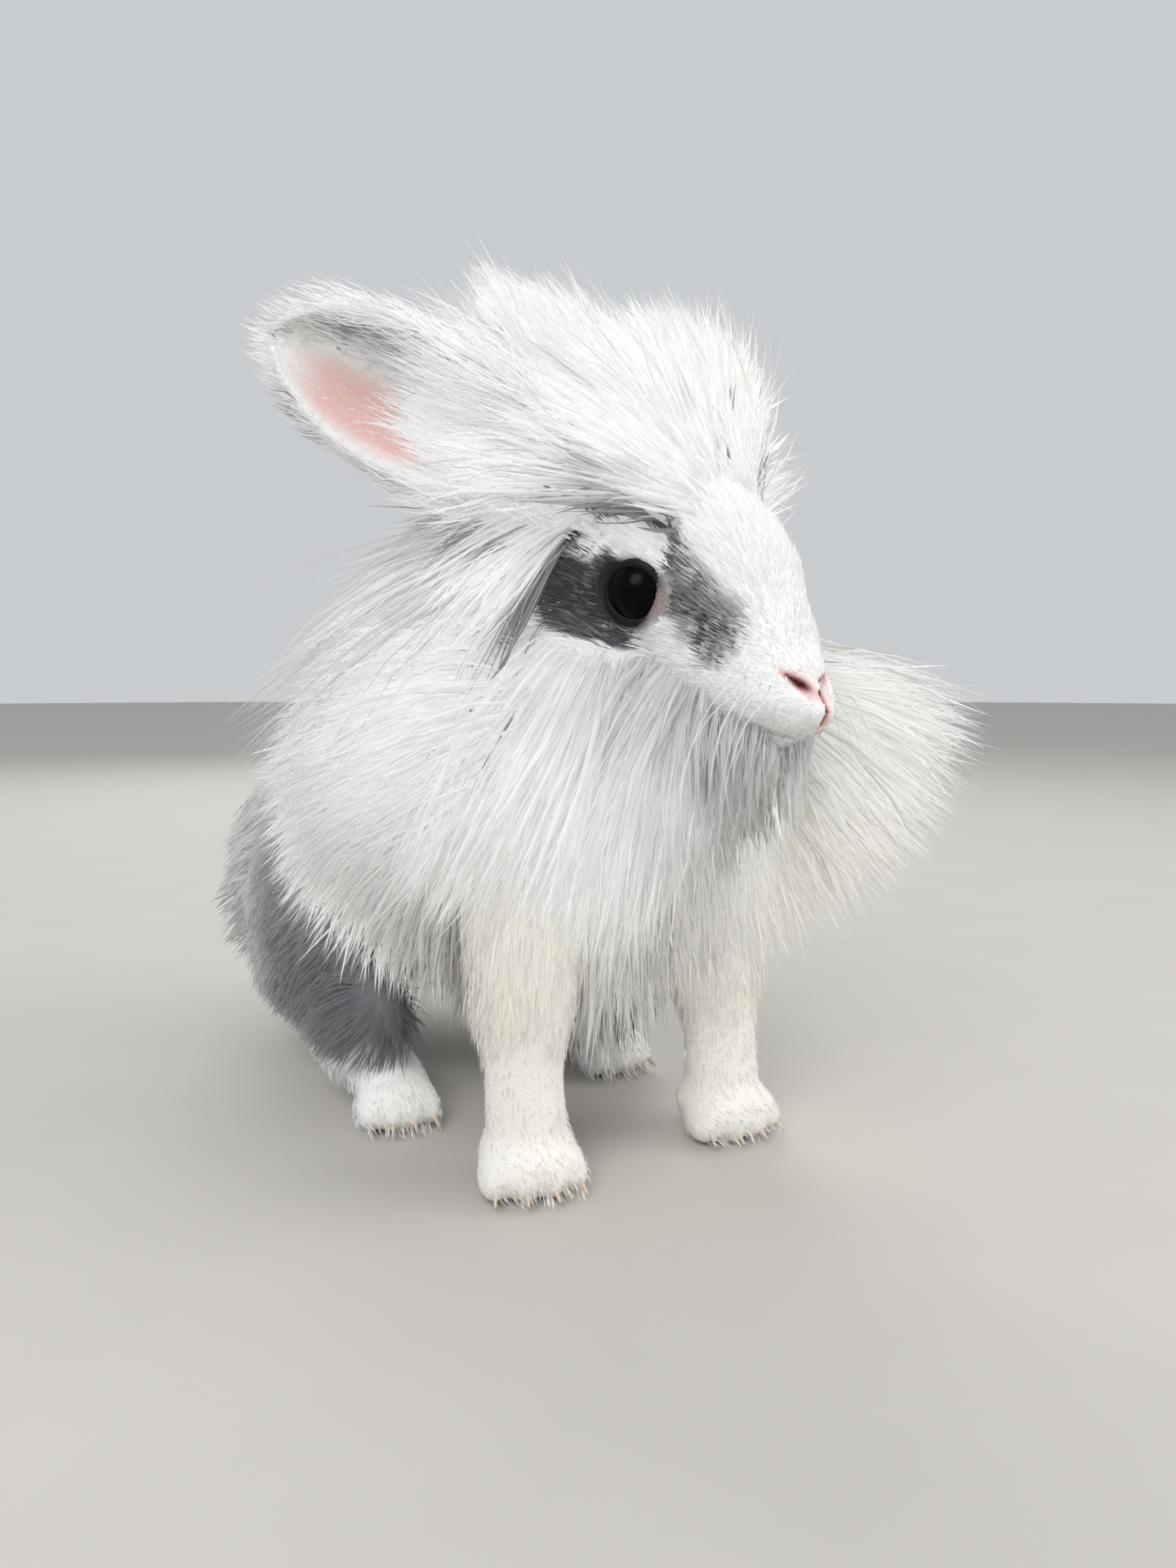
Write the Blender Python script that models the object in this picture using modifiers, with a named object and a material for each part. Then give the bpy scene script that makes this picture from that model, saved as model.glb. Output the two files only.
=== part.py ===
"""A lionhead rabbit, life size, sitting on its four feet with its head turned to its left.

It faces -Y with its left side toward +X and rests on the floor at z = 0. Sizes are in millimetres and become
metres where a mesh is made. The head has a frame of its own, forward, left and up, with its origin midway
between the eyes. Touching nodes keep a gap of 0.3 mm.
"""
import math
import random

import bmesh
import bpy
from mathutils import Matrix, Vector

MM = 0.001
GAP = 0.3
CLEAR = 0.5
CLEAR_BACK = 0.35

HEAD_AT = Vector((8.8, -58.8, 129.6))
HEAD_YAW = 8.0
HEAD_PITCH = 24.0

EYE_RADIUS = 8.0
EYE_SIDE = 12.8
EYE_FORWARD = 0.5
EYE_UP = 0.5
LID_RADIUS = 6.4
LID_THICK = 1.4
LID_TURN = 20.0

EAR_LONG = 74.0
EAR_WIDE = 33.0
EAR_THICK = 2.0
EAR_ROOT = (-26.0, 13.0, 14.0)
EAR_LEANS = {1: (-0.315, 0.55, 0.773), -1: (-0.80, 0.42, 0.43)}
EAR_MOUTHS = {1: (0.15, -0.85, 0.45), -1: (-0.25, -0.85, -0.45)}
EAR_DEEP = 7.0

FORE_AT = {1: (31.5, -48.6), -1: (-24.6, -46.8)}
FORE_TURN = {1: -8.0, -1: -18.0}
FORE_FOOT_HALF = 12.5
HIND_X = 35.5
HIND_TOE_Y = -10.0
HIND_HEEL_Y = 67.0
HIND_FOOT_HALF = 10.5
HIND_TURN = {1: 0.0, -1: -17.0}

# The long coat, patch by patch: rows along the form, the turns round it with their count, then each lock's
# length, width and rise.
CREST = ((0.585,), (62, 118, 4), 37.0, 14.0, 0.2)
CROWN = ((0.66, 0.78), (48, 132, 4), 40.0, 23.0, 0.4)
RIGHT_SIDE = ((0.57, 0.67, 0.78), (116, 184, 3), 52.0, 25.0, 0.22)
LEFT_SIDE = ((0.64, 0.78), (4, 58, 2), 50.0, 25.0, 0.3)
RIGHT_CHEEK = ((0.42, 0.54, 0.68), (196, 252, 3), 56.0, 30.0, 0.25)
LEFT_CHEEK = ((0.36, 0.48, 0.61), (298, 358, 4), 58.0, 27.0, 0.3)
BEARD = ((0.34, 0.45), (244, 296, 3), 56.0, 25.0, 0.25)
RUFF = ((0.24, 0.46, 0.70), (0, 360, 10), 35.0, 29.0, 0.42)
RIGHT_SKIRT = ((0.10, 0.28), (188, 214, 2), 25.0, 22.0, 0.5)
LEFT_SKIRT = ((0.10, 0.28), (326, 352, 2), 25.0, 22.0, 0.5)
RUMP = ((0.07,), (20, 160, 4), 20.0, 18.0, 0.4)

LOCK_THICK = 4.0
LOCK_SUNK = 6.0
LOCK_STEPS = 4
LOCK_CURL = 0.16
LOCK_ROLL = 0.2
LOCK_WIDEST = 0.25

TORSO_STATIONS = (
    (0, 117, 44, 9, 9, 9),
    (0, 109, 47, 27, 25, 24),
    (0, 92, 54, 39, 40, 36),
    (0, 66, 62, 45, 48, 42),
    (0, 38, 68, 44, 50, 42),
    (0, 10, 73, 39, 46, 38),
    (0, -16, 77, 34, 41, 37),
    (0, -36, 78, 29, 34, 36),
    (0, -50, 77, 19, 24, 28),
    (0, -56, 76, 7, 9, 11),
)
NECK_STATIONS = (
    (0, -2, 88, 20, 20, 20),
    (1, -12, 93, 29, 29, 29),
    (3, -24, 101, 31, 31, 31),
    (5, -35, 111, 29, 29, 29),
    (7, -45, 121, 22, 22, 22),
)
RUFF_STATIONS = (
    (1, 10, 72, 26, 26, 14),
    (1, 2, 78, 42, 36, 26),
    (2, -12, 87, 49, 39, 36),
    (3, -25, 98, 46, 36, 39),
    (6, -38, 110, 36, 28, 32),
    (8, -48, 120, 20, 18, 18),
)
SKULL_STATIONS = (
    (42.0, -3.5, 4.0, 3.5, 5.0),
    (40.2, -5.5, 9.0, 8.5, 9.5),
    (34.0, -7.5, 13.0, 14.5, 12.5),
    (24.0, -7.0, 14.5, 20.5, 16.0),
    (12.0, -4.0, 16.6, 26.5, 20.0),
    (0.0, -1.0, 18.2, 28.5, 24.0),
    (-13.0, 0.0, 21.0, 28.0, 26.0),
    (-25.0, 1.0, 20.5, 24.0, 24.0),
    (-33.0, 1.0, 14.0, 16.0, 16.0),
    (-37.0, 1.0, 5.0, 6.0, 6.0),
)


def head_matrix():
    """The head's frame: X forward along the face, Y to the rabbit's left, Z up, turned and nodded."""
    yaw = math.radians(HEAD_YAW)
    pitch = math.radians(HEAD_PITCH)
    level = Vector((math.sin(yaw), -math.cos(yaw), 0.0))
    left = Vector((math.cos(yaw), math.sin(yaw), 0.0))
    forward = level * math.cos(pitch) - Vector((0, 0, 1)) * math.sin(pitch)
    up = forward.cross(left)
    matrix = Matrix((forward, left, up)).transposed().to_4x4()
    matrix.translation = HEAD_AT
    return matrix


HEAD = head_matrix()


def smooth(values, t):
    """A smooth curve through evenly spaced values, read at t from 0 to 1."""
    last = len(values) - 1
    place = min(max(t, 0.0), 1.0) * last
    i = min(int(place), last - 1)
    f = place - i
    a, b, c, d = (values[min(max(k, 0), last)] for k in (i - 1, i, i + 1, i + 2))
    bend = (2 * a - 5 * b + 4 * c - d) * f * f + (3 * b - a - 3 * c + d) * f ** 3
    return 0.5 * (2 * b + (c - a) * f + bend)


class Form:
    """A rounded body swept through stations: centre, half width, half height above it and below it."""

    def __init__(self, stations, across):
        self.centres = [Vector(s[:3]) for s in stations]
        self.sizes = [[s[k] for s in stations] for k in (3, 4, 5)]
        self.across = Vector(across)

    def centre(self, t):
        return Vector([smooth([c[k] for c in self.centres], t) for k in range(3)])

    def axes(self, t):
        run = (self.centre(min(t + 0.01, 1.0)) - self.centre(max(t - 0.01, 0.0))).normalized()
        side = (self.across - run * self.across.dot(run)).normalized()
        up = run.cross(side)
        if up.z < 0 and abs(up.z) > 0.2:
            up = -up
        return run, side, up

    def point(self, t, turn):
        """On the surface: turn 0 is the across side, 90 the top, 180 the other side, 270 beneath."""
        run, side, up = self.axes(t)
        wide, high, low = (max(smooth(size, t), 0.5) for size in self.sizes)
        c, s = math.cos(math.radians(turn)), math.sin(math.radians(turn))
        return self.centre(t) + side * (wide * c) + up * ((high if s > 0 else low) * s)

    def normal(self, t, turn):
        a = self.point(min(t + 0.01, 1.0), turn) - self.point(max(t - 0.01, 0.0), turn)
        b = self.point(t, turn + 3) - self.point(t, turn - 3)
        n = a.cross(b).normalized()
        return n if n.dot(self.point(t, turn) - self.centre(t)) > 0 else -n

    def rings(self, count, sides):
        return [[self.point(k / (count - 1), 360 * j / sides) for j in range(sides)] for k in range(count)]


def new_object(name, mesh, matrix=None):
    thing = bpy.data.objects.new(name, mesh)
    bpy.context.scene.collection.objects.link(thing)
    if matrix is not None:
        mesh.transform(matrix)
    return thing


def finish_mesh(name, bm, matrix=None):
    bmesh.ops.recalc_face_normals(bm, faces=bm.faces)
    bmesh.ops.triangulate(bm, faces=bm.faces)
    if matrix is not None:
        bmesh.ops.transform(bm, matrix=matrix, verts=bm.verts)
    bmesh.ops.scale(bm, vec=(MM, MM, MM), verts=bm.verts)
    mesh = bpy.data.meshes.new(name)
    bm.to_mesh(mesh)
    bm.free()
    return new_object(name, mesh)


def loft(name, rings, matrix=None):
    """A closed body over rings of equal count, each end drawn to the middle of its ring."""
    bm = bmesh.new()
    verts = [[bm.verts.new(p) for p in ring] for ring in rings]
    count = len(rings[0])
    for lower, upper in zip(verts, verts[1:]):
        for j in range(count):
            k = (j + 1) % count
            bm.faces.new((lower[j], lower[k], upper[k], upper[j]))
    for ring in (verts[0], verts[-1]):
        middle = bm.verts.new(sum((v.co for v in ring), Vector()) / count)
        for j in range(count):
            bm.faces.new((ring[j], ring[(j + 1) % count], middle))
    return finish_mesh(name, bm, matrix)


def ball(name, centre, halves, turn=(0, 0, 0), matrix=None, across=16, rows=10):
    """An ellipsoid with its half sizes, turned by angles in degrees about X, Y and Z."""
    bm = bmesh.new()
    bmesh.ops.create_uvsphere(bm, u_segments=across, v_segments=rows, radius=1.0)
    spin = Matrix.Rotation(math.radians(turn[2]), 4, "Z") @ Matrix.Rotation(math.radians(turn[1]), 4, "Y")
    spin = spin @ Matrix.Rotation(math.radians(turn[0]), 4, "X")
    place = Matrix.Translation(Vector(centre)) @ spin @ Matrix.Diagonal((*halves, 1.0))
    bmesh.ops.transform(bm, matrix=place, verts=bm.verts)
    return finish_mesh(name, bm, matrix)


def tube(name, points, radius, matrix=None, ring=False):
    """A round rod of few sides along a short list of points, or a ring of it, as a closed mesh."""
    curve = bpy.data.curves.new(name, "CURVE")
    curve.dimensions = "3D"
    curve.bevel_depth = radius * MM
    curve.bevel_resolution = 1
    curve.use_fill_caps = not ring
    spline = curve.splines.new("POLY")
    spline.points.add(len(points) - 1)
    spline.use_cyclic_u = ring
    for spot, p in zip(spline.points, points):
        q = matrix @ Vector(p) if matrix is not None else Vector(p)
        spot.co = (*(q * MM), 1.0)
    rod = bpy.data.objects.new(name, curve)
    bpy.context.scene.collection.objects.link(rod)
    mesh = bpy.data.meshes.new_from_object(rod.evaluated_get(bpy.context.evaluated_depsgraph_get()))
    bm = bmesh.new()
    bm.from_mesh(mesh)
    bmesh.ops.remove_doubles(bm, verts=bm.verts, dist=0.00001)
    bmesh.ops.recalc_face_normals(bm, faces=bm.faces)
    bm.to_mesh(mesh)
    bm.free()
    solid = new_object(name, mesh)
    solid.matrix_world = rod.matrix_world
    bpy.data.objects.remove(rod)
    return solid


def box(name, low, high):
    bm = bmesh.new()
    bmesh.ops.create_cube(bm, size=1.0)
    size = Vector(high) - Vector(low)
    place = Matrix.Translation((Vector(low) + Vector(high)) / 2) @ Matrix.Diagonal((*size, 1.0))
    bmesh.ops.transform(bm, matrix=place, verts=bm.verts)
    return finish_mesh(name, bm)


def grown(thing, amount=CLEAR):
    """A copy whose every face stands out by the amount, to cut a neighbour clear."""
    bm = bmesh.new()
    bm.from_mesh(thing.data)
    bm.normal_update()
    moves = []
    for v in bm.verts:
        move = v.normal * (amount * MM)
        for _ in range(8):
            for face in v.link_faces:
                move += face.normal * max(amount * MM - move.dot(face.normal), 0.0)
        moves.append(move.normalized() * min(move.length, 4 * amount * MM))
    for v, move in zip(bm.verts, moves):
        v.co += move
    mesh = bpy.data.meshes.new(thing.name + "_grown")
    bm.to_mesh(mesh)
    bm.free()
    return new_object(thing.name + "_grown", mesh)


def largest(mesh):
    """Keeps only a mesh's largest closed surface, by volume. Surfaces that touch along an edge are two."""
    bm = bmesh.new()
    bm.from_mesh(mesh)
    left = set(bm.faces)
    best, best_size = set(), -1.0
    while left:
        reach = [left.pop()]
        group = set(reach)
        while reach:
            for edge in reach.pop().edges:
                for face in edge.link_faces:
                    if face in left and len(edge.link_faces) == 2:
                        left.remove(face)
                        group.add(face)
                        reach.append(face)
        size = abs(sum(f.calc_center_median().dot(f.normal) * f.calc_area() for f in group))
        if size > best_size:
            best, best_size = group, size
    bmesh.ops.delete(bm, geom=[f for f in bm.faces if f not in best], context="FACES")
    bm.to_mesh(mesh)
    bm.free()


def settle(thing):
    """Leaves triangles only, and of them the largest closed surface."""
    bm = bmesh.new()
    bm.from_mesh(thing.data)
    bmesh.ops.triangulate(bm, faces=bm.faces)
    bm.to_mesh(thing.data)
    bm.free()
    largest(thing.data)


def combine(thing, others, operation, solver="MANIFOLD"):
    """One Boolean of a collection of closed bodies on a body, applied, and those bodies removed."""
    group = bpy.data.collections.new(thing.name + "_" + operation.lower())
    bpy.context.scene.collection.children.link(group)
    for other in others:
        bpy.context.scene.collection.objects.unlink(other)
        group.objects.link(other)
    step = thing.modifiers.new(operation.lower(), "BOOLEAN")
    step.operation = operation
    step.operand_type = "COLLECTION"
    step.collection = group
    step.solver = solver
    bpy.context.view_layer.update()
    shape = bpy.data.meshes.new_from_object(thing.evaluated_get(bpy.context.evaluated_depsgraph_get()))
    thing.modifiers.clear()
    thing.data = shape
    for other in others:
        bpy.data.objects.remove(other)
    bpy.data.collections.remove(group)
    largest(thing.data)
    return thing


def material(name, colour, roughness, coat=0.0):
    surface = bpy.data.materials.new(name)
    surface.use_nodes = True
    shader = surface.node_tree.nodes["Principled BSDF"]
    shader.inputs["Base Color"].default_value = (*colour, 1.0)
    shader.inputs["Roughness"].default_value = roughness
    shader.inputs["Metallic"].default_value = 0.0
    shader.inputs["Coat Weight"].default_value = coat
    return surface


def torso_form():
    return Form(TORSO_STATIONS, (1, 0, 0))


def neck_form():
    return Form(NECK_STATIONS, (1, 0, 0))


def ruff_form():
    return Form(RUFF_STATIONS, (1, 0, 0))


def skull_form():
    return Form([(s, 0.0, u, w, a, b) for s, u, w, a, b in SKULL_STATIONS], (0, 1, 0))


def ear(side):
    """A cupped ear: an open sheet rolled at its root and opening to a rounded tip, given its thickness."""
    along, round_ = 9, 8
    name = "ear_left" if side > 0 else "ear_right"
    lean = Vector(EAR_LEANS[side]).normalized()
    mouth = Vector(EAR_MOUTHS[side])
    mouth = (mouth - lean * mouth.dot(lean)).normalized()
    cross = lean.cross(mouth)
    root = HEAD @ Vector((EAR_ROOT[0], EAR_ROOT[1] * side, EAR_ROOT[2]))
    start = root - lean * EAR_DEEP
    long_all = EAR_LONG + EAR_DEEP
    bm = bmesh.new()
    grid = []
    for i in range(along + 1):
        t = i / along
        opening = 148 - 90 * min(t / 0.45, 1.0) ** 0.8
        half = 6.5 + (EAR_WIDE / 2 - 6.5) * math.sin(math.pi * min(t / 1.25, 1.0)) ** 1.1
        half *= (1 - max(t - 0.62, 0) ** 2.2 / 0.38 ** 2.2) ** 0.5 if t > 0.62 else 1.0
        half = max(half, 1.6)
        radius = half / max(math.sin(math.radians(min(opening, 90))), 0.25)
        back = start + lean * (long_all * t) - mouth * (5 * math.sin(math.pi * t))
        row = []
        for j in range(round_ + 1):
            a = math.radians(opening * (2 * j / round_ - 1))
            spot = back + cross * (radius * math.sin(a)) + mouth * (radius * (1 - math.cos(a)))
            row.append(bm.verts.new(spot))
        grid.append(row)
    for a, b in zip(grid, grid[1:]):
        for j in range(round_):
            bm.faces.new((a[j], a[j + 1], b[j + 1], b[j]))
    sheet = finish_mesh(name, bm)
    skin = sheet.modifiers.new("thickness", "SOLIDIFY")
    skin.thickness = EAR_THICK * MM
    skin.offset = 0.0
    bpy.context.view_layer.update()
    sheet.data = bpy.data.meshes.new_from_object(sheet.evaluated_get(bpy.context.evaluated_depsgraph_get()))
    sheet.modifiers.clear()
    return sheet


def eye(side):
    """A whole eyeball, black, showing inside its lids."""
    name = "eye_left" if side > 0 else "eye_right"
    centre = (EYE_FORWARD, EYE_SIDE * side, EYE_UP)
    return ball(name, centre, (EYE_RADIUS,) * 3, matrix=HEAD, across=14, rows=9)


def lids(side):
    """The ring of bare skin round the eye's opening, turned a little forward."""
    turns = 12
    centre = Vector((EYE_FORWARD, EYE_SIDE * side, EYE_UP))
    spin = Matrix.Rotation(math.radians(-LID_TURN * side), 3, "Z")
    ring = []
    for j in range(turns):
        a = 2 * math.pi * j / turns
        spot = Vector((1.08 * LID_RADIUS * math.cos(a), side * 5.0, 0.95 * LID_RADIUS * math.sin(a)))
        ring.append(centre + spin @ spot)
    return tube("lids", ring, LID_THICK, HEAD, ring=True)


def foreleg(side):
    """An upright foreleg with its foot flat on the floor and four toes in front."""
    name = "foreleg_left" if side > 0 else "foreleg_right"
    x, y = FORE_AT[side]
    leg = Form([
        (x - 6 * side, y + 12, 84, 12, 15, 12),
        (x - 4 * side, y + 8, 66, 15, 16, 14),
        (x - 1.5 * side, y + 3, 46, 13.8, 14.5, 13),
        (x, y + 1, 28, 11, 11, 11),
        (x, y, 14, 11.2, 11, 11),
        (x, y, 4, 11, 11, 11),
        (x, y, -4, 9, 9, 9),
    ], (1, 0, 0))
    foot = Form([
        (0, 10, 5, 6, 5, 8),
        (0, 7, 7, 10.5, 9, 9),
        (0, 0, 8, FORE_FOOT_HALF, 9, 10),
        (0, -7, 7, FORE_FOOT_HALF, 7.5, 10),
        (0, -10.5, 6, 10.5, 5.5, 9),
        (0, -12, 5.5, 5, 3, 6),
    ], (1, 0, 0))
    place = Matrix.Translation((x, y, 0)) @ Matrix.Rotation(math.radians(FORE_TURN[side]), 4, "Z")
    limb = loft(name, leg.rings(9, 12))
    pieces = [loft("foot", foot.rings(7, 10), place)]
    for k in range(4):
        across = (k - 1.5) / 1.5
        spot = (9.0 * across, -7.0 + 2.2 * across ** 2, 4.4)
        pieces.append(ball("toe", spot, (3.9, 7.5, 6.0), matrix=place, across=7, rows=5))
    return limb, pieces


def hindleg(side):
    """A folded hind leg: the thigh beside the belly, over a long flat foot that is turned about its toes."""
    name = "hindleg_left" if side > 0 else "hindleg_right"
    thigh = ball(name, (34 * side, 48, 46), (17, 40, 36), (14, 0, 4 * side), across=14, rows=9)
    shin = ball("shin", (36 * side, 14, 24), (12, 23, 17), (-26, 0, 0), across=10, rows=7)
    foot = Form([
        (2 * side, HIND_HEEL_Y, 7, 4, 4, 6),
        (2 * side, 62, 8, 9, 8, 10),
        (side, 42, 8, 10, 9, 11),
        (0, 20, 8, HIND_FOOT_HALF, 9, 11),
        (0, 4, 8, HIND_FOOT_HALF, 8.5, 11),
        (0, -3, 7, 9.5, 7, 10),
        (0, -6, 6, 5, 3.5, 7),
    ], (1, 0, 0))
    place = Matrix.Translation((HIND_X * side, HIND_TOE_Y, 0))
    place = place @ Matrix.Rotation(math.radians(HIND_TURN[side]), 4, "Z")
    place = place @ Matrix.Translation((0, -HIND_TOE_Y, 0))
    pieces = [shin, loft("foot", foot.rings(9, 10), place)]
    for k in range(4):
        across = (k - 1.5) / 1.5
        spot = (7.6 * across, HIND_TOE_Y + 8.5 + 2.0 * across ** 2, 4.8)
        pieces.append(ball("toe", spot, (3.4, 8.5, 6.6), matrix=place, across=7, rows=5))
    return thigh, pieces


def head_cutters():
    """Nostrils, the split lip and the mouth line, and the two sockets."""
    cuts = []
    for side in (1, -1):
        centre = (EYE_FORWARD, EYE_SIDE * side, EYE_UP)
        slant = (34 * side, 0, -38 * side)
        cuts.append(ball("socket", centre, (EYE_RADIUS + GAP,) * 3, matrix=HEAD, across=14, rows=9))
        cuts.append(ball("nostril", (41.0, 4.4 * side, -1.0), (3.4, 2.7, 0.9), slant, HEAD, 10, 6))
    cuts.append(tube("lip_split", [(42.6, 0, -2.5), (42.8, 0, -7.0), (41.4, 0, -12.5)], 0.7, HEAD))
    mouth = [(30.0 + 10.5 * math.cos(a), 11.0 * math.sin(a), -14.0 - 2.6 * abs(math.sin(a)))
             for a in [math.radians(-70 + 14 * k) for k in range(11)]]
    cuts.append(tube("mouth_line", mouth, 0.7, HEAD))
    return cuts


def head():
    """The skull with its cheeks, muzzle, chin and lids, and the crest, cheek hair and beard."""
    skull = loft("head", skull_form().rings(17, 16), HEAD)
    extra = [lids(1), lids(-1)]
    extra.append(ball("pad", (35.0, 5.5, -8.5), (7.5, 7.5, 7.0), matrix=HEAD, across=12, rows=8))
    extra.append(ball("pad", (35.0, -5.5, -8.5), (7.5, 7.5, 7.0), matrix=HEAD, across=12, rows=8))
    extra.append(ball("chin", (31.0, 0, -18.0), (8.0, 8.5, 5.5), matrix=HEAD, across=12, rows=8))
    extra += head_cores() + head_locks()
    combine(skull, extra, "UNION")
    return skull


def lock(path, across, wide, thick):
    """A flat lock along a path: a low ridge in section, widest a quarter of the way, with a fine tip."""
    bm = bmesh.new()
    last = len(path) - 1
    rings = []
    for i, p in enumerate(path[:-1]):
        run = (path[i + 1] - path[max(i - 1, 0)]).normalized()
        side = (across - run * across.dot(run)).normalized()
        out = side.cross(run)
        t = i / last
        if t < LOCK_WIDEST:
            w = wide / 2 * (0.62 + 1.5 * t)
        else:
            w = wide / 2 * (1 - ((t - LOCK_WIDEST) / (1 - LOCK_WIDEST)) ** 1.8 * 0.86)
        h = thick * (1 - 0.7 * t)
        section = ((1, -0.3), (0, 0.7), (-1, -0.3))
        rings.append([bm.verts.new(p + side * a * w + out * b * h) for a, b in section])
    tip = bm.verts.new(path[-1])
    for a, b in zip(rings, rings[1:]):
        for j in range(3):
            k = (j + 1) % 3
            bm.faces.new((a[j], a[k], b[k], b[j]))
    for j in range(3):
        bm.faces.new((rings[-1][j], rings[-1][(j + 1) % 3], tip))
    bm.faces.new(rings[0])
    return finish_mesh("lock", bm)


def strand(root, out, lie, length, rise, draw):
    """The path of a lock: from inside the body out along its normal, then over to the lie of the coat."""
    first = (out * rise + lie * (1 - rise)).normalized()
    last = (lie + Vector([draw.uniform(-LOCK_CURL, LOCK_CURL) for _ in range(3)])).normalized()
    path = [root - out * LOCK_SUNK]
    spot = root.copy()
    step = length / LOCK_STEPS
    for i in range(LOCK_STEPS):
        t = i / (LOCK_STEPS - 1)
        spot = spot + first.lerp(last, t).normalized() * step
        path.append(spot.copy())
    return path


def patch(form, matrix, layout, lie_of, draw):
    """Locks over a patch of a form: rows of places along it, each with turns round it, a little uneven."""
    made = []
    rows, turns, length, wide, rise = layout
    spin = matrix.to_3x3() if matrix is not None else Matrix.Identity(3)
    for n, t in enumerate(rows):
        low, high, count = turns
        for k in range(count):
            part = (k + 0.5 + (0.25 if n % 2 else -0.25) + draw.uniform(-0.15, 0.15)) / count
            turn = low + (high - low) * part
            place = t + draw.uniform(-0.015, 0.015)
            root = form.point(place, turn)
            out = spin @ form.normal(place, turn)
            root = matrix @ root if matrix is not None else root
            lie = Vector(lie_of(place, turn)).normalized()
            long_ = length * draw.uniform(0.86, 1.1)
            path = strand(root, out, lie, long_, rise * draw.uniform(0.8, 1.15), draw)
            roll = Vector([draw.uniform(-LOCK_ROLL, LOCK_ROLL) for _ in range(3)])
            facing = Vector((out.x, out.y, 0.3 * out.z))
            across = lie.cross(facing.normalized() + roll).normalized()
            broad = wide * draw.uniform(0.8, 1.2)
            made.append(lock(path, across, broad, LOCK_THICK * draw.uniform(0.85, 1.1)))
    return made


def head_cores():
    """The dense inner coat of crown, cheeks and throat, no more than half way to the tips."""
    return [ball("crown_core", (-22, 0, 18), (19, 19, 20), matrix=HEAD, across=10, rows=7),
            ball("cheek_core", (2, 21, -20), (18, 18, 16), matrix=HEAD, across=10, rows=7),
            ball("cheek_core", (-8, -16, -22), (17, 16, 15), matrix=HEAD, across=10, rows=7),
            ball("beard_core", (12, 0, -27), (16, 17, 17), matrix=HEAD, across=10, rows=7)]


def head_locks():
    """Crest, crown, cheek hair and beard. Each lie is a direction that changes with the place."""
    form = skull_form()
    draw = random.Random(11)

    def crest(t, a):
        return (0.1 + 0.006 * (90 - a), -0.02, 1.0)

    def crown(t, a):
        return (0.012 * (90 - a), 0.05 + 1.6 * (t - 0.64), 0.9)

    def right_side(t, a):
        return (-0.85, 0.36 + 0.004 * (a - 112), 0.66 - 0.014 * (a - 112))

    def left_side(t, a):
        return (0.80, 0.42, 0.1)

    def right_cheek(t, a):
        return (-0.5, 1.2 * (t - 0.42), -0.85)

    def left_cheek(t, a):
        return (0.85, -0.42 + 0.9 * (t - 0.36), 0.28 - 0.019 * (358 - a))

    def beard(t, a):
        return (0.006 * (a - 270), -0.1, -1.0)

    locks = patch(form, HEAD, CREST, crest, draw)
    locks += patch(form, HEAD, CROWN, crown, draw)
    locks += patch(form, HEAD, RIGHT_SIDE, right_side, draw)
    locks += patch(form, HEAD, LEFT_SIDE, left_side, draw)
    locks += patch(form, HEAD, RIGHT_CHEEK, right_cheek, draw)
    locks += patch(form, HEAD, LEFT_CHEEK, left_cheek, draw)
    locks += patch(form, HEAD, BEARD, beard, draw)
    return locks


def neck_locks():
    """The ruff: rings of locks, swept back over the shoulders and hanging in front of the chest."""
    draw = random.Random(24)

    def lie(t, turn):
        a = math.radians(turn)
        if math.sin(a) > -0.5:
            return (0.72 * math.cos(a), 0.85 * (0.75 + math.sin(a)), 0.35 * math.sin(a) - 0.35)
        return (0.45 * math.cos(a), -0.12, -1.0)

    return patch(ruff_form(), None, RUFF, lie, draw)


def neck():
    """The neck with the ruff round it: a dense core and the locks over it."""
    core = loft("neck", neck_form().rings(7, 14))
    inner = loft("ruff_core", ruff_form().rings(9, 14))
    combine(core, [inner] + neck_locks(), "UNION")
    return core


def torso_locks():
    """The long coat's skirts along both flanks and round the rump."""
    form = torso_form()
    draw = random.Random(37)

    def rump(t, turn):
        return (0.5 * math.cos(math.radians(turn)), 0.8, -0.45)

    locks = []
    for layout, sense in ((RIGHT_SKIRT, -1), (LEFT_SKIRT, 1)):
        skirt = Vector((0.34 * sense, 0.55, -0.5))
        locks += patch(form, None, layout, lambda t, a: skirt, draw)
    locks += patch(form, None, RUMP, rump, draw)
    return locks


def torso():
    """The body from chest to rump."""
    return loft("torso", torso_form().rings(19, 16))


def tail():
    """The short tail laid up against the rump."""
    return ball("tail", (0, 120, 46), (13, 13, 18), (-18, 0, 0), across=12, rows=8)


def clear_scene():
    for thing in list(bpy.data.objects):
        bpy.data.objects.remove(thing)


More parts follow.
